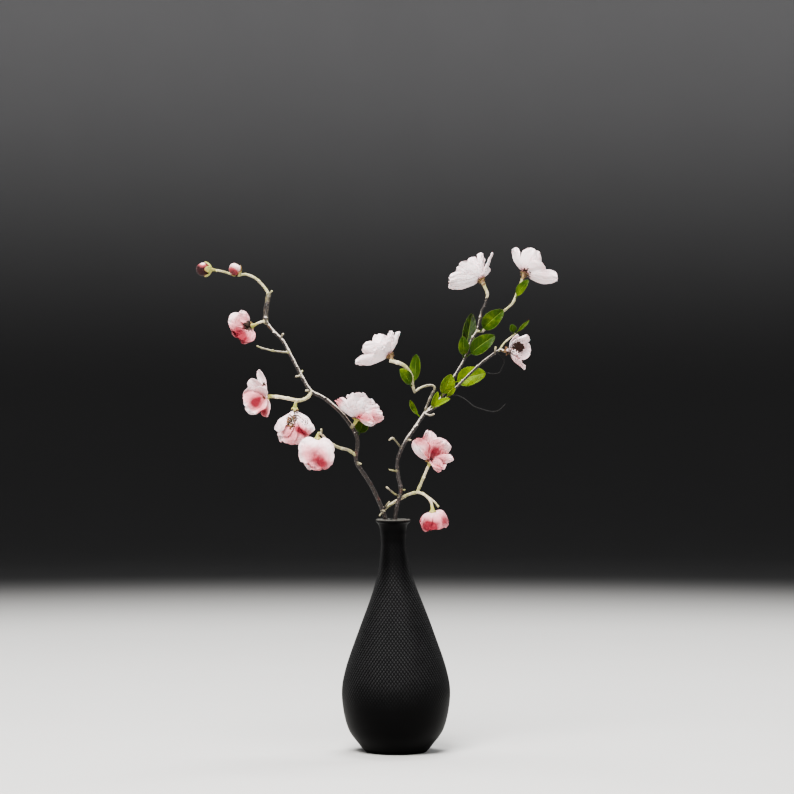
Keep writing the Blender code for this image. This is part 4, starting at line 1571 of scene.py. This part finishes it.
@dataclass(frozen=True)
class Bud:
    """A closed bud of folded petals, held in a cup whose five lobes hug it."""

    name: str
    side: Side
    limb: str
    aim: Point
    half_length: float
    half_width: float
    tint: float
    blush: tuple[Patch, ...]
    lobes: int = 5
    cup_clear: float = 0.65

    def skin(self, limb: Limb) -> Callable[[float, float, float], Vector]:
        """Shapes the bud's skin.

        Args:
            limb: The twig that it grows on.

        Returns:
            The skin, from a polar angle, a turn and a distance off it to millimetres.
        """
        axis = Vector(self.aim).normalized()
        near, over = square_to(axis)
        middle = limb.end() + axis * (self.half_length + self.cup_clear + 1.3)

        def on_bud(polar: float, turn: float, clear: float) -> Vector:
            """Finds one point.

            Args:
                polar: The angle from the stalk's side.
                turn: The turn about the bud's axis.
                clear: How far the point stands off the skin.

            Returns:
                The point.
            """
            rise = -math.cos(polar) * (self.half_length + clear)
            reach = math.sin(polar) * (self.half_width + clear)
            return middle + axis * rise + (near * math.cos(turn) + over * math.sin(turn)) * reach

        return on_bud

    def build(self, limb: Limb, growth: Growth) -> list[bpy.types.Object]:
        """Builds the bud.

        Args:
            limb: The twig that it grows on.
            growth: The finishes.

        Returns:
            Its petals and its cup.
        """
        on_bud = self.skin(limb)
        end, way, radius = limb.end(), limb.way(), limb.radii[1]

        def on_petals(along: float, across: float) -> Vector:
            """Finds one point on the folded petals.

            Args:
                along: The share of the length, from 0 at the twig to 1.
                across: The share of half a turn, from -1 to 1.

            Returns:
                The point.
            """
            polar, turn = math.pi * along, math.pi * across
            spiral = 1.5 * turn - 0.9 * math.cos(polar)
            fold = abs(math.sin(spiral)) ** 0.6 - 1
            step = 0.35 * math.sin(polar) * ease(0.9, 0.2, abs(math.sin(spiral + 0.5)))
            return on_bud(polar, turn, (0.09 * self.half_width * fold - step) * math.sin(polar))

        petals = sheet(f"{self.name}_folded", columns=72, rows=40, place=on_petals)
        weld(petals)
        paint(petals, "flush", lambda spot: self.tint + sum(patch.at(spot - end) for patch in self.blush))
        finish(petals, growth.bud, Slot.ROSE, (f"{self.name}_petals",), angle=50.0)

        def on_cup(along: float, across: float) -> Vector:
            """Finds one point on the cup.

            Args:
                along: The share of a lobe's length, from 0 at the twig to 1.
                across: The share of half a turn, from -1 to 1.

            Returns:
                The point.
            """
            lobe = abs(math.cos(self.lobes / 2 * math.pi * across)) ** 0.9
            polar = math.radians(along * (48 + 36 * lobe))
            stand = 0.95 - 0.35 * along * lobe + 0.12 * math.sin(9 * along + 11 * across)
            return on_bud(polar, math.pi * across, stand)

        cup = sheet("cup", columns=80, rows=16, place=on_cup)
        weld(cup)
        thicken(cup, SEPAL_WALL)
        base = on_bud(0.0, 0.0, 0.95)
        inside = base + (base - end).normalized() * 0.6
        swell = swelling([end - way * 2.2, end - way * 0.4, base, inside], radius, end=2.0)
        calyx = joined(f"{self.name}_sepals", (cup, swell))
        finish(calyx, growth.sepals[Slot.ROSE], Slot.CALYX, (f"{self.name}_calyx",), angle=70.0)
        return [petals, calyx]


@dataclass(frozen=True)
class Leaf:
    """A folded, arched leaf with its stalk."""

    name: str
    side: Side
    limb: str
    foot: Point
    tip: Point
    width: float
    turn: float
    arch: float
    ripe: float
    fold: float = 0.34
    stalk_share: float = 0.16
    stalk_half: float = 0.42

    def build(self, limb: Limb, growth: Growth) -> bpy.types.Object:
        """Builds the leaf.

        Args:
            limb: The limb that it grows from.
            growth: The finishes.

        Returns:
            The leaf.
        """
        foot = Vector(self.foot)
        on_limb, share = limb.nearest(foot)
        clear = 0.3 if share == 1 else limb.radius(share) * 1.12 + 0.7
        foot = on_limb + (foot - on_limb).normalized() * clear
        chord = Vector(self.tip) - foot
        length = chord.length
        along = chord / length
        face = (FRONT - FRONT.dot(along) * along).normalized()
        face = Matrix.Rotation(math.radians(self.turn), 3, along) @ face
        across = along.cross(face)

        def place(u: float, v: float) -> Vector:
            """Finds one point.

            Args:
                u: The share of the length, from 0 at the foot to 1.
                v: The share of the half width, from -1 to 1.

            Returns:
                The point.
            """
            # The blade starts past the stalk and is widest below its middle.
            t = max(0.0, (u - self.stalk_share) / (1 - self.stalk_share))
            half = max(self.stalk_half, self.width / 2 * math.sin(math.pi * t ** 0.92) ** 0.54)
            half *= 1 + 0.02 * math.sin(70 * u) * abs(v)
            # It arches along its length, folds at its midrib, and swells between its side veins.
            lift = self.arch * length * 4 * u * (1 - u) + self.fold * half * abs(v) ** 1.15
            lift += 0.04 * self.width * abs(v) * math.sin(9 * u + 2 * v)
            veins = math.sin(2 * math.pi * (SIDE_VEINS * u - VEIN_SLANT * abs(v)))
            lift += 0.012 * self.width * abs(v) * veins
            return foot + along * (u * length) + across * (half * v) + face * lift

        blade = sheet("blade", columns=20, rows=44, place=place)
        thicken(blade, LEAF_WALL)
        rib = [place(share, 0.0) for share in (0.08, self.stalk_share, 0.3)]
        stalk = strands("stalk", (Strand((on_limb, *rib), (0.62, 0.5, self.stalk_half, 0.2)),), sides=8)
        piece = joined(f"{self.name}_blade", (blade, stalk))
        paint(piece, "ripe", lambda spot: self.ripe)
        return finish(piece, growth.leaf, Slot.LEAF, (self.name,))


@dataclass(frozen=True)
class Lamp:
    """A soft light: its place and its size in metres, its power in watts and its colour."""

    name: str
    place: Point
    size: tuple[float, float]
    power: float
    colour: Colour = (1.0, 1.0, 1.0)

    def hang(self, aim: Point) -> None:
        """Hangs the light, hidden from the camera.

        Args:
            aim: The point that it faces, in metres.
        """
        lamp = bpy.data.lights.new(self.name, "AREA")
        lamp.shape = "RECTANGLE"
        lamp.size, lamp.size_y = self.size
        lamp.energy = self.power
        lamp.color = self.colour
        piece = placed(self.name, lamp)
        piece.location = self.place
        piece.rotation_euler = (Vector(aim) - Vector(self.place)).to_track_quat("-Z", "Y").to_euler()
        piece.visible_camera = False


@dataclass
class Studio:
    """A round floor that rises all round, soft lights, and the camera."""

    floor_radius: float = 2900.0
    floor_rings: tuple[float, ...] = (0.0, 600.0, 1600.0)
    bend_steps: int = 16
    wall_radius: float = 4100.0
    wall_heights: tuple[float, ...] = (1800.0, 2600.0)
    lamps: tuple[Lamp, ...] = (
        Lamp("key_light", (-0.5, -1.5, 2.3), (1.3, 1.3), 182, (1.0, 0.98, 0.97)),
        Lamp("fill_light", (1.7, -1.7, 1.5), (1.2, 1.2), 22, (0.96, 0.98, 1.0)),
        Lamp("left_rim_light", (-1.6, 1.2, 0.7), (0.45, 1.6), 11),
        Lamp("right_rim_light", (1.5, 1.2, 1.2), (0.4, 1.6), 14),
        Lamp("top_light", (0.1, 0.6, 2.4), (1.0, 0.8), 66))
    lit_point: Point = (0.0, 0.0, 0.25)
    room_colour: Colour = (0.9, 0.95, 1.0)
    room_strength: float = 0.06
    eye: Point = (0.00086, -2.4516, 0.3049)
    lens: float = 129.2
    film_width: float = 36.0
    sight: float = 50.0

    def floor(self) -> bpy.types.Object:
        """Lays the floor and its backdrop, which turns up in one smooth curve.

        Returns:
            The floor.
        """
        bend = self.wall_radius - self.floor_radius
        outline = [(radius, 0.0) for radius in self.floor_rings]
        for i in range(self.bend_steps + 1):
            turn = math.pi / 2 * i / self.bend_steps
            outline.append((self.floor_radius + bend * math.sin(turn), bend * (1 - math.cos(turn))))
        outline += [(self.wall_radius, height) for height in self.wall_heights]

        def place(along: float, across: float) -> Vector:
            """Finds one point.

            Args:
                along: The share of the outline, from 0 to 1.
                across: The share of half a turn, from -1 to 1.

            Returns:
                The point.
            """
            radius, height = outline[round(along * (len(outline) - 1))]
            turn = math.pi * across
            return Vector((radius * math.sin(turn), radius * math.cos(turn), height))

        piece = sheet("pale_floor", columns=96, rows=len(outline) - 1, place=place)
        weld(piece, within=0.01, inwards=True)
        bpy.ops.object.shade_smooth()
        piece.data.materials.append(PaleFloor().material())
        piece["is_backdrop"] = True
        return piece

    def lights(self) -> None:
        """Hangs the soft lights and adds a faint light all round."""
        for lamp in self.lamps:
            lamp.hang(self.lit_point)
        world = bpy.data.worlds.new("room")
        world.use_nodes = True
        room = world.node_tree.nodes["Background"].inputs
        room["Color"].default_value = (*self.room_colour, 1.0)
        room["Strength"].default_value = self.room_strength
        bpy.context.scene.world = world
        bpy.context.scene.view_settings.look = "AgX - Medium High Contrast"

    def camera(self) -> None:
        """Sets the camera level with the lower blooms and straight in front."""
        eye = bpy.data.cameras.new("camera")
        eye.lens = self.lens
        eye.sensor_width = self.film_width
        eye.clip_end = self.sight
        piece = placed("camera", eye)
        piece.location = self.eye
        piece.rotation_euler = (math.pi / 2, 0.0, 0.0)
        bpy.context.scene.camera = piece


def nub(radii: tuple[float, float], *route: Point) -> Limb:
    """A short stub that once bore a bud or a twig."""
    return Limb(radii, (0.3, 0.6), route)


LEFT_LIMBS: dict[str, Limb] = {
    "trunk": Limb((2.1, 1.35), (0.0, 0.22), (
        (21, 3, 5.5), (21, 3, 20), (19, 3, 60), (14, 3, 110), (7, 3.2, 150), (-1, 2.8, 178),
        (-9, 2.2, 200), (-14, 1, 213.5), (-22.5, -3, 231), (-32.5, -8, 246.5), (-34.5, -10, 254),
        (-33, -12, 262), (-34, -14, 272.5), (-41, -17, 284), (-49.5, -19, 294), (-61.5, -20, 304),
        (-72.5, -20, 310), (-79.5, -18, 320.5), (-89, -14, 338.5), (-97, -10, 353), (-104, -7, 360),
        (-112, -4, 369.5))),
    "crown": Limb((1.9, 2.2), (0.3, 0.34), (
        (-111, -5, 367.5), (-112, -4, 371.5), (-111.5, -1, 381.5), (-109.5, 2, 394))),
    "arc_twig": Limb((1.3, 0.95), (0.6, 0.9), (
        (-109.5, 2, 393), (-112, 3, 397.5), (-116, 4, 402.5), (-121.5, 4, 407.5), (-129.5, 3, 410.6),
        (-137.5, 2, 409.8), (-149.5, -1, 413), (-157.2, -3, 414.3))),
    "arc_bud_stalk": Limb((1.0, 1.0), (0.9, 0.9), (
        (-134, 2.4, 410), (-135, -1.8, 411.6))),
    "upper_stalk": Limb((1.1, 1.1), (0.8, 0.95), (
        (-111.5, -4, 370), (-117, -5.4, 369), (-121.5, -6, 366.6))),
    "middle_shoot": Limb((1.6, 1.5), (0.7, 1.0), (
        (-72.5, -20, 310), (-74, -20.5, 306), (-78.5, -21, 303), (-83.5, -21.5, 302),
        (-91.5, -22, 303.5), (-100.5, -22.5, 305), (-108.5, -23, 305.5))),
    "hanging_stalk": Limb((1.4, 1.3), (0.9, 1.0), (
        (-85, -21.5, 302), (-86, -21.5, 297.6))),
    "low_shoot": Limb((1.4, 1.0), (0.45, 0.8), (
        (-35, -10.5, 255.5), (-41, -13, 259.5), (-48, -18, 261.5), (-54, -24, 264.5), (-59, -30, 268.5),
        (-63, -34, 273), (-65.4, -35.8, 274.4), (-66.4, -36.6, 272.8))),
    "knee_stalk": Limb((1.2, 1.1), (0.4, 0.7), (
        (-38, -15.6, 279), (-34.6, -21.5, 283))),
    "spray": Limb((1.5, 1.2), (0.6, 1.0), (
        (-11.5, 1.6, 207), (-7, 3, 211), (-3.5, 3.4, 213), (1.5, 3.6, 216), (6, 2.4, 218.5),
        (10.5, -1, 221), (18, -6, 223), (24, -10, 221.5), (29.5, -13, 216), (31.2, -14, 209.8))),
    "spray_stalk": Limb((1.3, 1.2), (0.9, 1.0), (
        (18, -6, 223), (22.5, -9, 233.5), (26, -11, 242), (28.6, -12.2, 247.6))),
    "spray_pedicel": Limb((0.9, 0.9), (0.9, 1.0), (
        (26, -11, 220.5), (33, -11, 215), (36.5, -12, 210.6))),
    "bare_twig": Limb((0.85, 0.7), (0.4, 0.5), (
        (-91, -13, 343), (-102.5, -15, 344), (-112, -18, 346), (-119, -21, 348.5))),
    "nub_crown": nub((1.0, 0.8), (-109.5, 2, 393.5), (-106.4, 0, 396.4)),
    "nub_high": nub((0.9, 0.8), (-99, -9, 355), (-96.4, -12, 359.4)),
    "nub_bend": nub((0.9, 0.8), (-81, -17.5, 323), (-85.8, -20, 322.4)),
    "nub_bend_front": nub((0.9, 0.8), (-82, -17.5, 325), (-80, -13.6, 327.4)),
    "nub_fork": nub((1.0, 0.8), (-73, -20, 310), (-77.4, -22, 310.4)),
    "nub_knee": nub((1.0, 0.8), (-33.5, -9, 249), (-29.6, -11, 247.4)),
    "nub_mouth": nub((0.9, 0.7), (-11.5, 1.6, 206.4), (-14.4, -1.5, 202.6)),
    "nub_spray": nub((0.8, 0.7), (-10.8, 1.6, 208.6), (-7.6, -0.6, 212.6), (-5.4, -2, 215.2)),
    "nub_low": nub((1.0, 0.8), (-63, -34, 273), (-63.4, -35.6, 278)),
}
RIGHT_LIMBS: dict[str, Limb] = {
    "trunk": Limb((1.9, 1.5), (0.0, 0.25), (
        (-19, -7, 5.5), (-19, -7, 20), (-17, -7, 60), (-13, -6, 110), (-8, -5, 150), (-3.5, -4.2, 178),
        (-1, -3.8, 200), (1, -3, 212), (3.5, -2, 220.5), (4, -1, 227.5), (2, 1, 236), (1, 3, 247),
        (3, 5, 256), (8, 7, 266), (15.5, 10, 277), (22, 13, 286.5), (25, 14, 291))),
    "near_limb": Limb((1.1, 1.0), (0.35, 0.5), (
        (24.5, 14, 290), (27, 15, 298), (30.5, 15, 306), (33.5, 14, 312), (31, 13, 315), (24, 9, 314),
        (19, 6, 311.5), (15.5, 4, 308.5))),
    "near_tip": Limb((1.2, 1.7), (0.5, 0.95), (
        (16.2, 4.4, 309), (15, 2, 312.5), (14, 0, 318.5), (12.5, -2, 325), (7.5, -4, 331.5),
        (1, -6, 334.6), (-5.6, -7, 336.2))),
    "near_stalk": Limb((1.1, 1.0), (0.9, 1.0), (
        (-3, -6.6, 335.8), (-3.6, -7, 338.6))),
    "far_limb": Limb((1.25, 1.05), (0.3, 0.25), (
        (25, 14, 290.5), (30.5, 16, 296), (36.5, 18, 301), (42, 20, 309), (47, 22, 316.5),
        (52.5, 24, 325.5), (59.5, 26, 337.5), (62.5, 27, 346), (66.5, 28, 356), (70.5, 29, 362.5),
        (73, 31, 373), (74.5, 33, 379.5), (77.5, 34, 386), (79.5, 35, 392.5))),
    "far_tip": Limb((1.2, 1.6), (0.6, 0.8), (
        (79, 34.8, 391), (79.8, 35, 394.6), (77.4, 35, 401), (75.8, 35, 404.8))),
    "far_twig": Limb((0.95, 1.1), (0.6, 0.95), (
        (70.2, 29, 362), (75, 28, 362.5), (81.5, 26, 367), (90, 23, 376.5), (96, 21, 381.5),
        (101.5, 19, 387), (105.4, 18, 397), (110.4, 17, 409.4))),
    "low_limb": Limb((1.2, 1.0), (0.15, 0.3), (
        (24.5, 14, 290), (35.5, 11.5, 297), (43.5, 10, 304), (51, 8.5, 312), (64, 5, 325),
        (73, 2, 333.5), (80.5, -1, 339.5), (87, -3, 344), (90, -4, 345.5), (93, -5, 344.2))),
    "low_twig": Limb((0.85, 0.8), (0.7, 0.9), (
        (88.5, -3.6, 344.8), (92.5, 1, 350.6), (96, 5, 354), (103.4, 7, 360))),
    "tendril_high": Limb((0.5, 0.4), (0.0, 0.0), (
        (86.5, -3, 343.6), (90.5, 1.6, 340), (93.2, 4, 336), (91.5, 5, 330.5), (89, 5.6, 326),
        (83.5, 7, 325), (78, 10, 326))),
    "tendril_low": Limb((0.5, 0.4), (0.0, 0.0), (
        (46, 9.6, 307), (54, 6, 306), (61, 2, 302), (67, -2, 297), (74, -4, 294.5), (82, -5, 292.5),
        (88, -6, 293.5), (94, -7, 299))),
    "nub_high": nub((0.8, 0.9), (5, 6, 260), (0.5, 3, 266), (-3, 0, 269.5), (-6, -2, 267.6)),
    "nub_middle": nub((0.8, 0.7), (1.5, 2, 241), (-2.5, 0, 241.6), (-6.2, -2, 242.6)),
    "nub_low": nub((0.8, 0.9), (3, -2, 219.6), (-1, -5, 221.6), (-5, -8, 225), (-8.4, -10, 228)),
    "nub_low_right": nub((0.8, 0.8), (4, -1.4, 225.4), (7.8, 2, 224.8)),
    "nub_fork": nub((0.9, 0.9), (25, 13.6, 290), (30, 9, 289), (33, 7, 290.4)),
    "nub_bark": nub((0.8, 0.7), (9, 7.4, 267.6), (13.2, 6, 267.8)),
    "nub_tip": nub((0.9, 0.9), (84.5, -2.4, 342.2), (85.8, -3.6, 348.2)),
}
BUDS: tuple[Bud, ...] = (
    Bud("bud_tip", Side.LEFT, "arc_twig", (-8.2, -0.6, 0.3), 6.4, 6.0, 0.75, (
        # Painted highlight: the negative patch on the bud's top takes its flush away and leaves it pale.
        Patch((-14, -1), 6, 0.7), Patch((-8, -4.5), 6, 0.8), Patch((-9, 6), 4, -0.9))),
    Bud("bud_arc", Side.LEFT, "arc_bud_stalk", (-4.0, -7.0, 3.6), 5.4, 5.2, 0.12, (
        Patch((-6.5, 0.5), 4, 0.7), Patch((-3, -1), 3, 0.5))),
)
BLOOMS: tuple[Bloom, ...] = (
    Bloom("left_upper", Side.LEFT, "upper_stalk", (-0.9, 0.2, -0.25), 0.2, Slot.ROSE, 0.22, (
        ((-13.5, -5, 9.5), 18), ((-22, -6, 3), 20), ((-20, -4, -6), 15), ((-12, -8, -13.5), 17),
        ((-3.5, 0, -13), 14), ((-11, 10, 2), 16), ((-21.5, -11, 4.5), 17), ((-17, -11, -6), 15),
        ((-9.5, -12, -13.2), 17), ((-14.5, -11, 9.3), 15)), (
        Patch((-9.5, -10.5), 7.5, 1.35), Patch((-16, -4), 6, 0.6), Patch((-8, 4), 8, 0.2)), (
        # Painted shadow: this dark patch by the calyx stands for the shaded hollow there.
        Patch((-3.9, -0.9), 4.0, 2.2),), ring_size=6, front=0.7, crumple=1.1),
    Bloom("left_outer", Side.LEFT, "middle_shoot", (-0.55, -0.8, -0.15), 0.14, Slot.ROSE, 0.14, (
        ((-8.5, -1, 23), 7), ((-16, -4, 14.5), 11), ((-21.5, -9, -1.5), 19), ((-14, -11, -13.5), 18),
        ((-1.5, -7, -17.5), 12), ((-9, -12, 8), 13), ((-20, -13, -9), 20)), (
        Patch((-8, -3), 5, 1.0), Patch((-11.5, -6.5), 4.5, 0.9), Patch((-4, -13), 4, 0.9),
        Patch((-17, 0), 5, 0.6)), (
        Patch((-2, 16), 3.5, 0.35), Patch((-4, 10), 1.6, 1.2)), stamens=4, stamen_length=2.0, widest_gap=0.0,
        ring_size=6, front=0.6),
    Bloom("left_hanging", Side.LEFT, "hanging_stalk", (-0.12, 0.2, -0.97), 0.2, Slot.ROSE, 0.16, (
        ((-17, -2, -21), 17), ((-10.5, -5, -31.5), 17), ((0.5, -3, -33.5), 18), ((8.5, -1, -30), 16),
        ((15.5, 1, -22), 16), ((-2, 12, -29), 18)), (
        Patch((2, -19.5), 3.0, 1.0), Patch((5.5, -22), 3.0, 0.9), Patch((9.5, -24), 3.4, 1.0),
        Patch((-4, -25), 8, 0.5)), (
        Patch((-3, -14), 5, 0.65), Patch((1, -7), 7, 0.5), Patch((9, -15), 5, 0.4)),
        Eye((-3.4, -13.5), 4.8), inset=0.97, fullness=1.32, cup_depth=0.38, curl=-0.02, belly=1.2,
        claw=0.14, widest=0.72, swell=0.55, crumple=1.5, snug=True),
    Bloom("left_drooping", Side.LEFT, "low_shoot", (-0.05, 0.1, -0.99), 0.26, Slot.ROSE, 0.16, (
        ((-12.5, -2, -23), 17), ((-5, -8, -29.5), 18), ((4.5, -6, -30), 17), ((11, 1, -23), 17),
        ((-3, 9, -27), 18), ((7, -6, -19), 14), ((-7.5, -12, -25), 19), ((4, -12, -28), 20),
        ((-13, -8, -16), 14), ((10, -8, -17), 14)), (
        Patch((1, -21), 8, 0.85), Patch((-7, -15), 6, 0.4), Patch((5, -25), 5, 0.7)), (), inset=0.97,
        fullness=1.2, cup_depth=0.34, curl=-0.04, belly=0.62, claw=0.55, swell=1.0, crumple=2.4, snug=True,
        stamens=8, stamen_length=7.0, ring_size=6, front=0.8),
    Bloom("left_knee", Side.LEFT, "knee_stalk", (0.3, 0.05, 0.95), 0.12, Slot.ROSE, 0.1, (
        ((-17.5, -7, 19), 10), ((-6, 6, 24), 16), ((5, 10, 25), 18), ((14.5, 5, 19.5), 18),
        ((23, -3, 8.5), 14), ((16, -11, 0.6), 12), ((4, -10, 12), 16), ((2.5, -12, 26), 18),
        ((13, -12, 20.5), 17), ((21.5, -11, 13), 15), ((24, -11, 6), 14), ((17, -12, 0.6), 11),
        ((-14.5, -8, 21), 9)), (
        Patch((-16, 18.5), 5, 0.6), Patch((3, 4.6), 3.5, 0.6), Patch((9, 4.5), 3.5, 0.7),
        Patch((16, 6), 3.5, 0.5), Patch((20, 1), 6, 0.4), Patch((15, 11), 3, 0.3)), (
        Patch((0, 2), 3.5, 0.6),), stamens=6, stamen_length=3.0, widest_gap=0.0, ring_size=7, front=0.75,
        crumple=0.8),
    Bloom("right_near", Side.RIGHT, "near_stalk", (-0.5, 0.55, 0.65), 0.1, Slot.WHITE, 0.05, (
        ((-32, 2, -4), 12), ((-25.5, -2, 9), 15), ((-13, 10, 20.5), 16), ((-0.5, 9, 23), 12),
        ((6.5, 2, 23), 7), ((-16, -11, 3), 17), ((-6, -8, 12), 14)), (
        Patch((0, 1), 5, 0.35),), (
        Patch((0, 0), 3.5, 0.6),), inset=0.74),
    Bloom("right_top", Side.RIGHT, "far_tip", (-0.45, 0.55, 0.7), 0.1, Slot.WHITE, 0.05, (
        ((-30.5, 2, -3.5), 12), ((-30.5, -3, 3), 14), ((-22, -4, 15), 17), ((-9.5, 9, 22.5), 15),
        ((-1.5, 8, 26.5), 11), ((8, 3, 27), 6), ((6.5, 8, 12), 11)), (
        Patch((0, 2), 4.5, 0.4),), (
        Patch((0.5, 1), 4.5, 1.1),), inset=0.74),
    Bloom("right_far", Side.RIGHT, "far_twig", (0.3, 0.5, 0.8), 0.12, Slot.WHITE, 0.07, (
        ((-9.5, 0, 24), 7), ((-7, 6, 25.5), 6), ((5, 12, 24.5), 12), ((11, 2, 23.5), 20), ((30, 0, -2.5), 15),
        ((18, -6, 9), 16)), (
        Patch((0, 3), 5, 0.5), Patch((17, 5), 6, 0.15)), (
        Patch((1, 2), 5, 1.3),), widest_gap=0.0, ring_size=4, front=0.6),
    Bloom("right_low", Side.RIGHT, "low_limb", (0.85, -0.45, 0.1), 0.16, Slot.WHITE, 0.1, (
        ((20.5, -5, 13), 16), ((12, 0, 14.5), 13), ((23, 2, 1.5), 17), ((18, -7, -15), 17),
        ((13, -12, -4), 11), ((12, 10, -6), 14)), (
        Patch((12, -11), 7, 0.25),), (
        # The broad faint patch is painted shade on the lower petal; the strong small one draws the dark oval
        # in the bloom's middle.
        Patch((4, -1.5), 4, 0.9), Patch((9, 5), 3, 0.6), Patch((12, -10), 9, 0.33),
        Patch((12.8, 3.4), 3.6, 2.2), Patch((12, 14), 5, 0.5)), widest_gap=0.0, stamens=4, stamen_length=4.0,
        ring_size=3, front=0.4),
    Bloom("spray_open", Side.LEFT, "spray_stalk", (0.2, -0.35, 0.9), 0.12, Slot.ROSE, 0.2, (
        ((-13, -4, 20.5), 15), ((0, 8, 29), 14), ((13.5, 5, 21), 19), ((20.5, -3, 5.5), 10),
        ((12.5, -9, -4), 12), ((3, -7, 19), 14), ((11, -4, 17), 13), ((-3, -3, 19), 12),
        ((-12.5, -10, 21.5), 14), ((16, -9, 18.5), 17), ((20.5, -10, 5), 10), ((10.5, -11, -4.5), 12)), (
        Patch((-8, 21), 5, 0.6), Patch((4.5, 12), 6.5, 1.05), Patch((1, 6), 4, 0.5),
        Patch((8, -2), 5, 0.35), Patch((13, 5), 5, 0.3)), (
        Patch((2, 4), 3.0, 0.6),), stamen_length=6.0, widest_gap=0.0, ring_size=8, front=0.7),
    Bloom("spray_drooping", Side.LEFT, "spray", (0.1, 0.2, -0.97), 0.32, Slot.ROSE, 0.26, (
        ((-8.5, -3, -17), 17), ((-2, -9, -18.5), 16), ((9.5, -4, -16.5), 13), ((15, 3, -11.5), 17),
        ((-1, 9, -15), 17)), (
        Patch((-4, -15), 6.5, 1.15), Patch((12.1, -10.5), 5, 1.1), Patch((3, -16), 5, 0.5)), (), inset=0.97,
        fullness=1.25, cup_depth=0.40, curl=-0.04, belly=0.62, claw=0.5, swell=1.0, crumple=1.4, snug=True,
        stamens=6, stamen_length=5.0),
)
LEAVES: tuple[Leaf, ...] = (
    Leaf("leaf_near_left", Side.RIGHT, "near_tip", (13.6, 0.4, 314), (3.5, -7, 329), 10, 25, 0.1, 0.4),
    Leaf("leaf_near_right", Side.RIGHT, "near_tip", (15, 3.4, 315), (17.6, 6, 341.5), 10, -20, -0.05, 0.4),
    Leaf("leaf_trunk", Side.RIGHT, "trunk", (20.5, 11, 288), (12, 6, 302), 5.5, 35, -0.14, 0.3),
    Leaf("leaf_fork_upright", Side.RIGHT, "far_limb", (30, 12.4, 295.4), (36, 9, 309.5), 5.5, 25, 0.08, 0.1),
    Leaf("leaf_fork_low", Side.RIGHT, "low_limb", (31.5, 9.4, 295.6), (46.5, 2, 303.5), 6, -30, 0.1, 0.0),
    Leaf("leaf_limb_sliver", Side.RIGHT, "low_limb", (43, 7.4, 305), (51, 3, 313), 4, 20, 0.08, 0.1),
    Leaf("leaf_limb_left", Side.RIGHT, "far_limb", (38.6, 16, 306), (47.5, 12, 324.5), 12.5, 20, 0.1, 0.2),
    Leaf("leaf_limb_right", Side.RIGHT, "far_limb", (49.4, 21.4, 316.6), (77.5, 15, 325.6), 17, -18, 0.1,
         0.15),
    # Painted shade: the tall leaf is given a dark ripeness because its tip stands in shade.
    Leaf("leaf_tall", Side.RIGHT, "far_limb", (60, 30, 339), (66.5, 41, 378), 11.5, 10, -0.04, 0.8),
    Leaf("leaf_node_left", Side.RIGHT, "far_limb", (57.6, 25, 339.6), (57.8, 18, 357.5), 9.5, 12, 0.12, 0.45),
    Leaf("leaf_node_right", Side.RIGHT, "far_limb", (62, 24.6, 340), (85.5, 17, 358), 14.5, -14, 0.08, 0.5),
    Leaf("leaf_twig", Side.RIGHT, "far_twig", (73, 26, 361.8), (93, 15, 380), 14, -10, 0.07, 0.45),
    Leaf("leaf_bract", Side.RIGHT, "far_twig", (104.4, 15.4, 390), (114.6, 11.6, 406), 8, -24, 0.1, 0.35),
    Leaf("leaf_end", Side.RIGHT, "low_twig", (105, 7, 361.4), (115, 5, 371), 3, 0, 0.06, 0.4),
    Leaf("leaf_end_side", Side.RIGHT, "low_twig", (101.4, 5, 360), (99.6, 3, 367.6), 6, 10, 0.1, 0.45),
    Leaf("leaf_knee", Side.LEFT, "trunk", (-31.6, -12.4, 272.5), (-27.4, -12.6, 285.4), 11.5, 0, 0.05, 0.5),
)


def main() -> None:
    """Builds and dresses every piece in order, and reports each of them."""
    logging.basicConfig(level=logging.INFO, format="%(name)s: %(message)s")
    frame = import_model()
    cad_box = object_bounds()
    glaze = BlackGlaze().material()
    bark = Bark().material()
    white = PetalSkin("white_petals", (0.97, 0.82, 0.83))
    rose = PetalSkin("rose_petals", (0.93, 0.80, 0.81))
    folded = PetalSkin("folded_petals", (0.88, 0.66, 0.65), (0.36, 0.06, 0.07), (0.030, 0.005, 0.006))
    brown_sepals = SepalSkin("brown_sepals", (0.11, 0.055, 0.022), (0.30, 0.21, 0.085), (0.07, 0.022, 0.012))
    sepals = {Slot.ROSE: SepalSkin().material(), Slot.WHITE: brown_sepals.material()}
    growth = Growth(
        sepals, LeafSkin().material(), Pollen().material(),
        {Slot.WHITE: white.material(), Slot.ROSE: rose.material()}, folded.material())
    water = frame["nodes"]["water"]
    water.material_slots[0].material = StillWater().material()
    vase = BottleVase(glaze)
    pieces = [water, vase.body(), vase.studs()]
    pieces.append(Branch(Side.LEFT, LEFT_LIMBS, bark, 4).build())
    pieces.append(Branch(Side.RIGHT, RIGHT_LIMBS, bark, 9).build())
    limbs = {Side.LEFT: LEFT_LIMBS, Side.RIGHT: RIGHT_LIMBS}
    for bud in BUDS:
        pieces += bud.build(limbs[bud.side][bud.limb], growth)
    for bloom in BLOOMS:
        pieces += bloom.build(limbs[bloom.side][bloom.limb], growth)
    for leaf in LEAVES:
        pieces.append(leaf.build(limbs[leaf.side][leaf.limb], growth))
    for piece in pieces:
        LOG.info("%s: %d triangles", piece.name, triangles(piece))
    LOG.info("the whole object: %d triangles in %d pieces", sum(map(triangles, pieces)), len(pieces))
    studio = Studio()
    studio.floor()
    studio.lights()
    studio.camera()
    boxes = {"cad": cad_box, "visual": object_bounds()}
    {name: [list(corner) for corner in box] for name, box in boxes.items()}


if __name__ == "__main__":
    main()
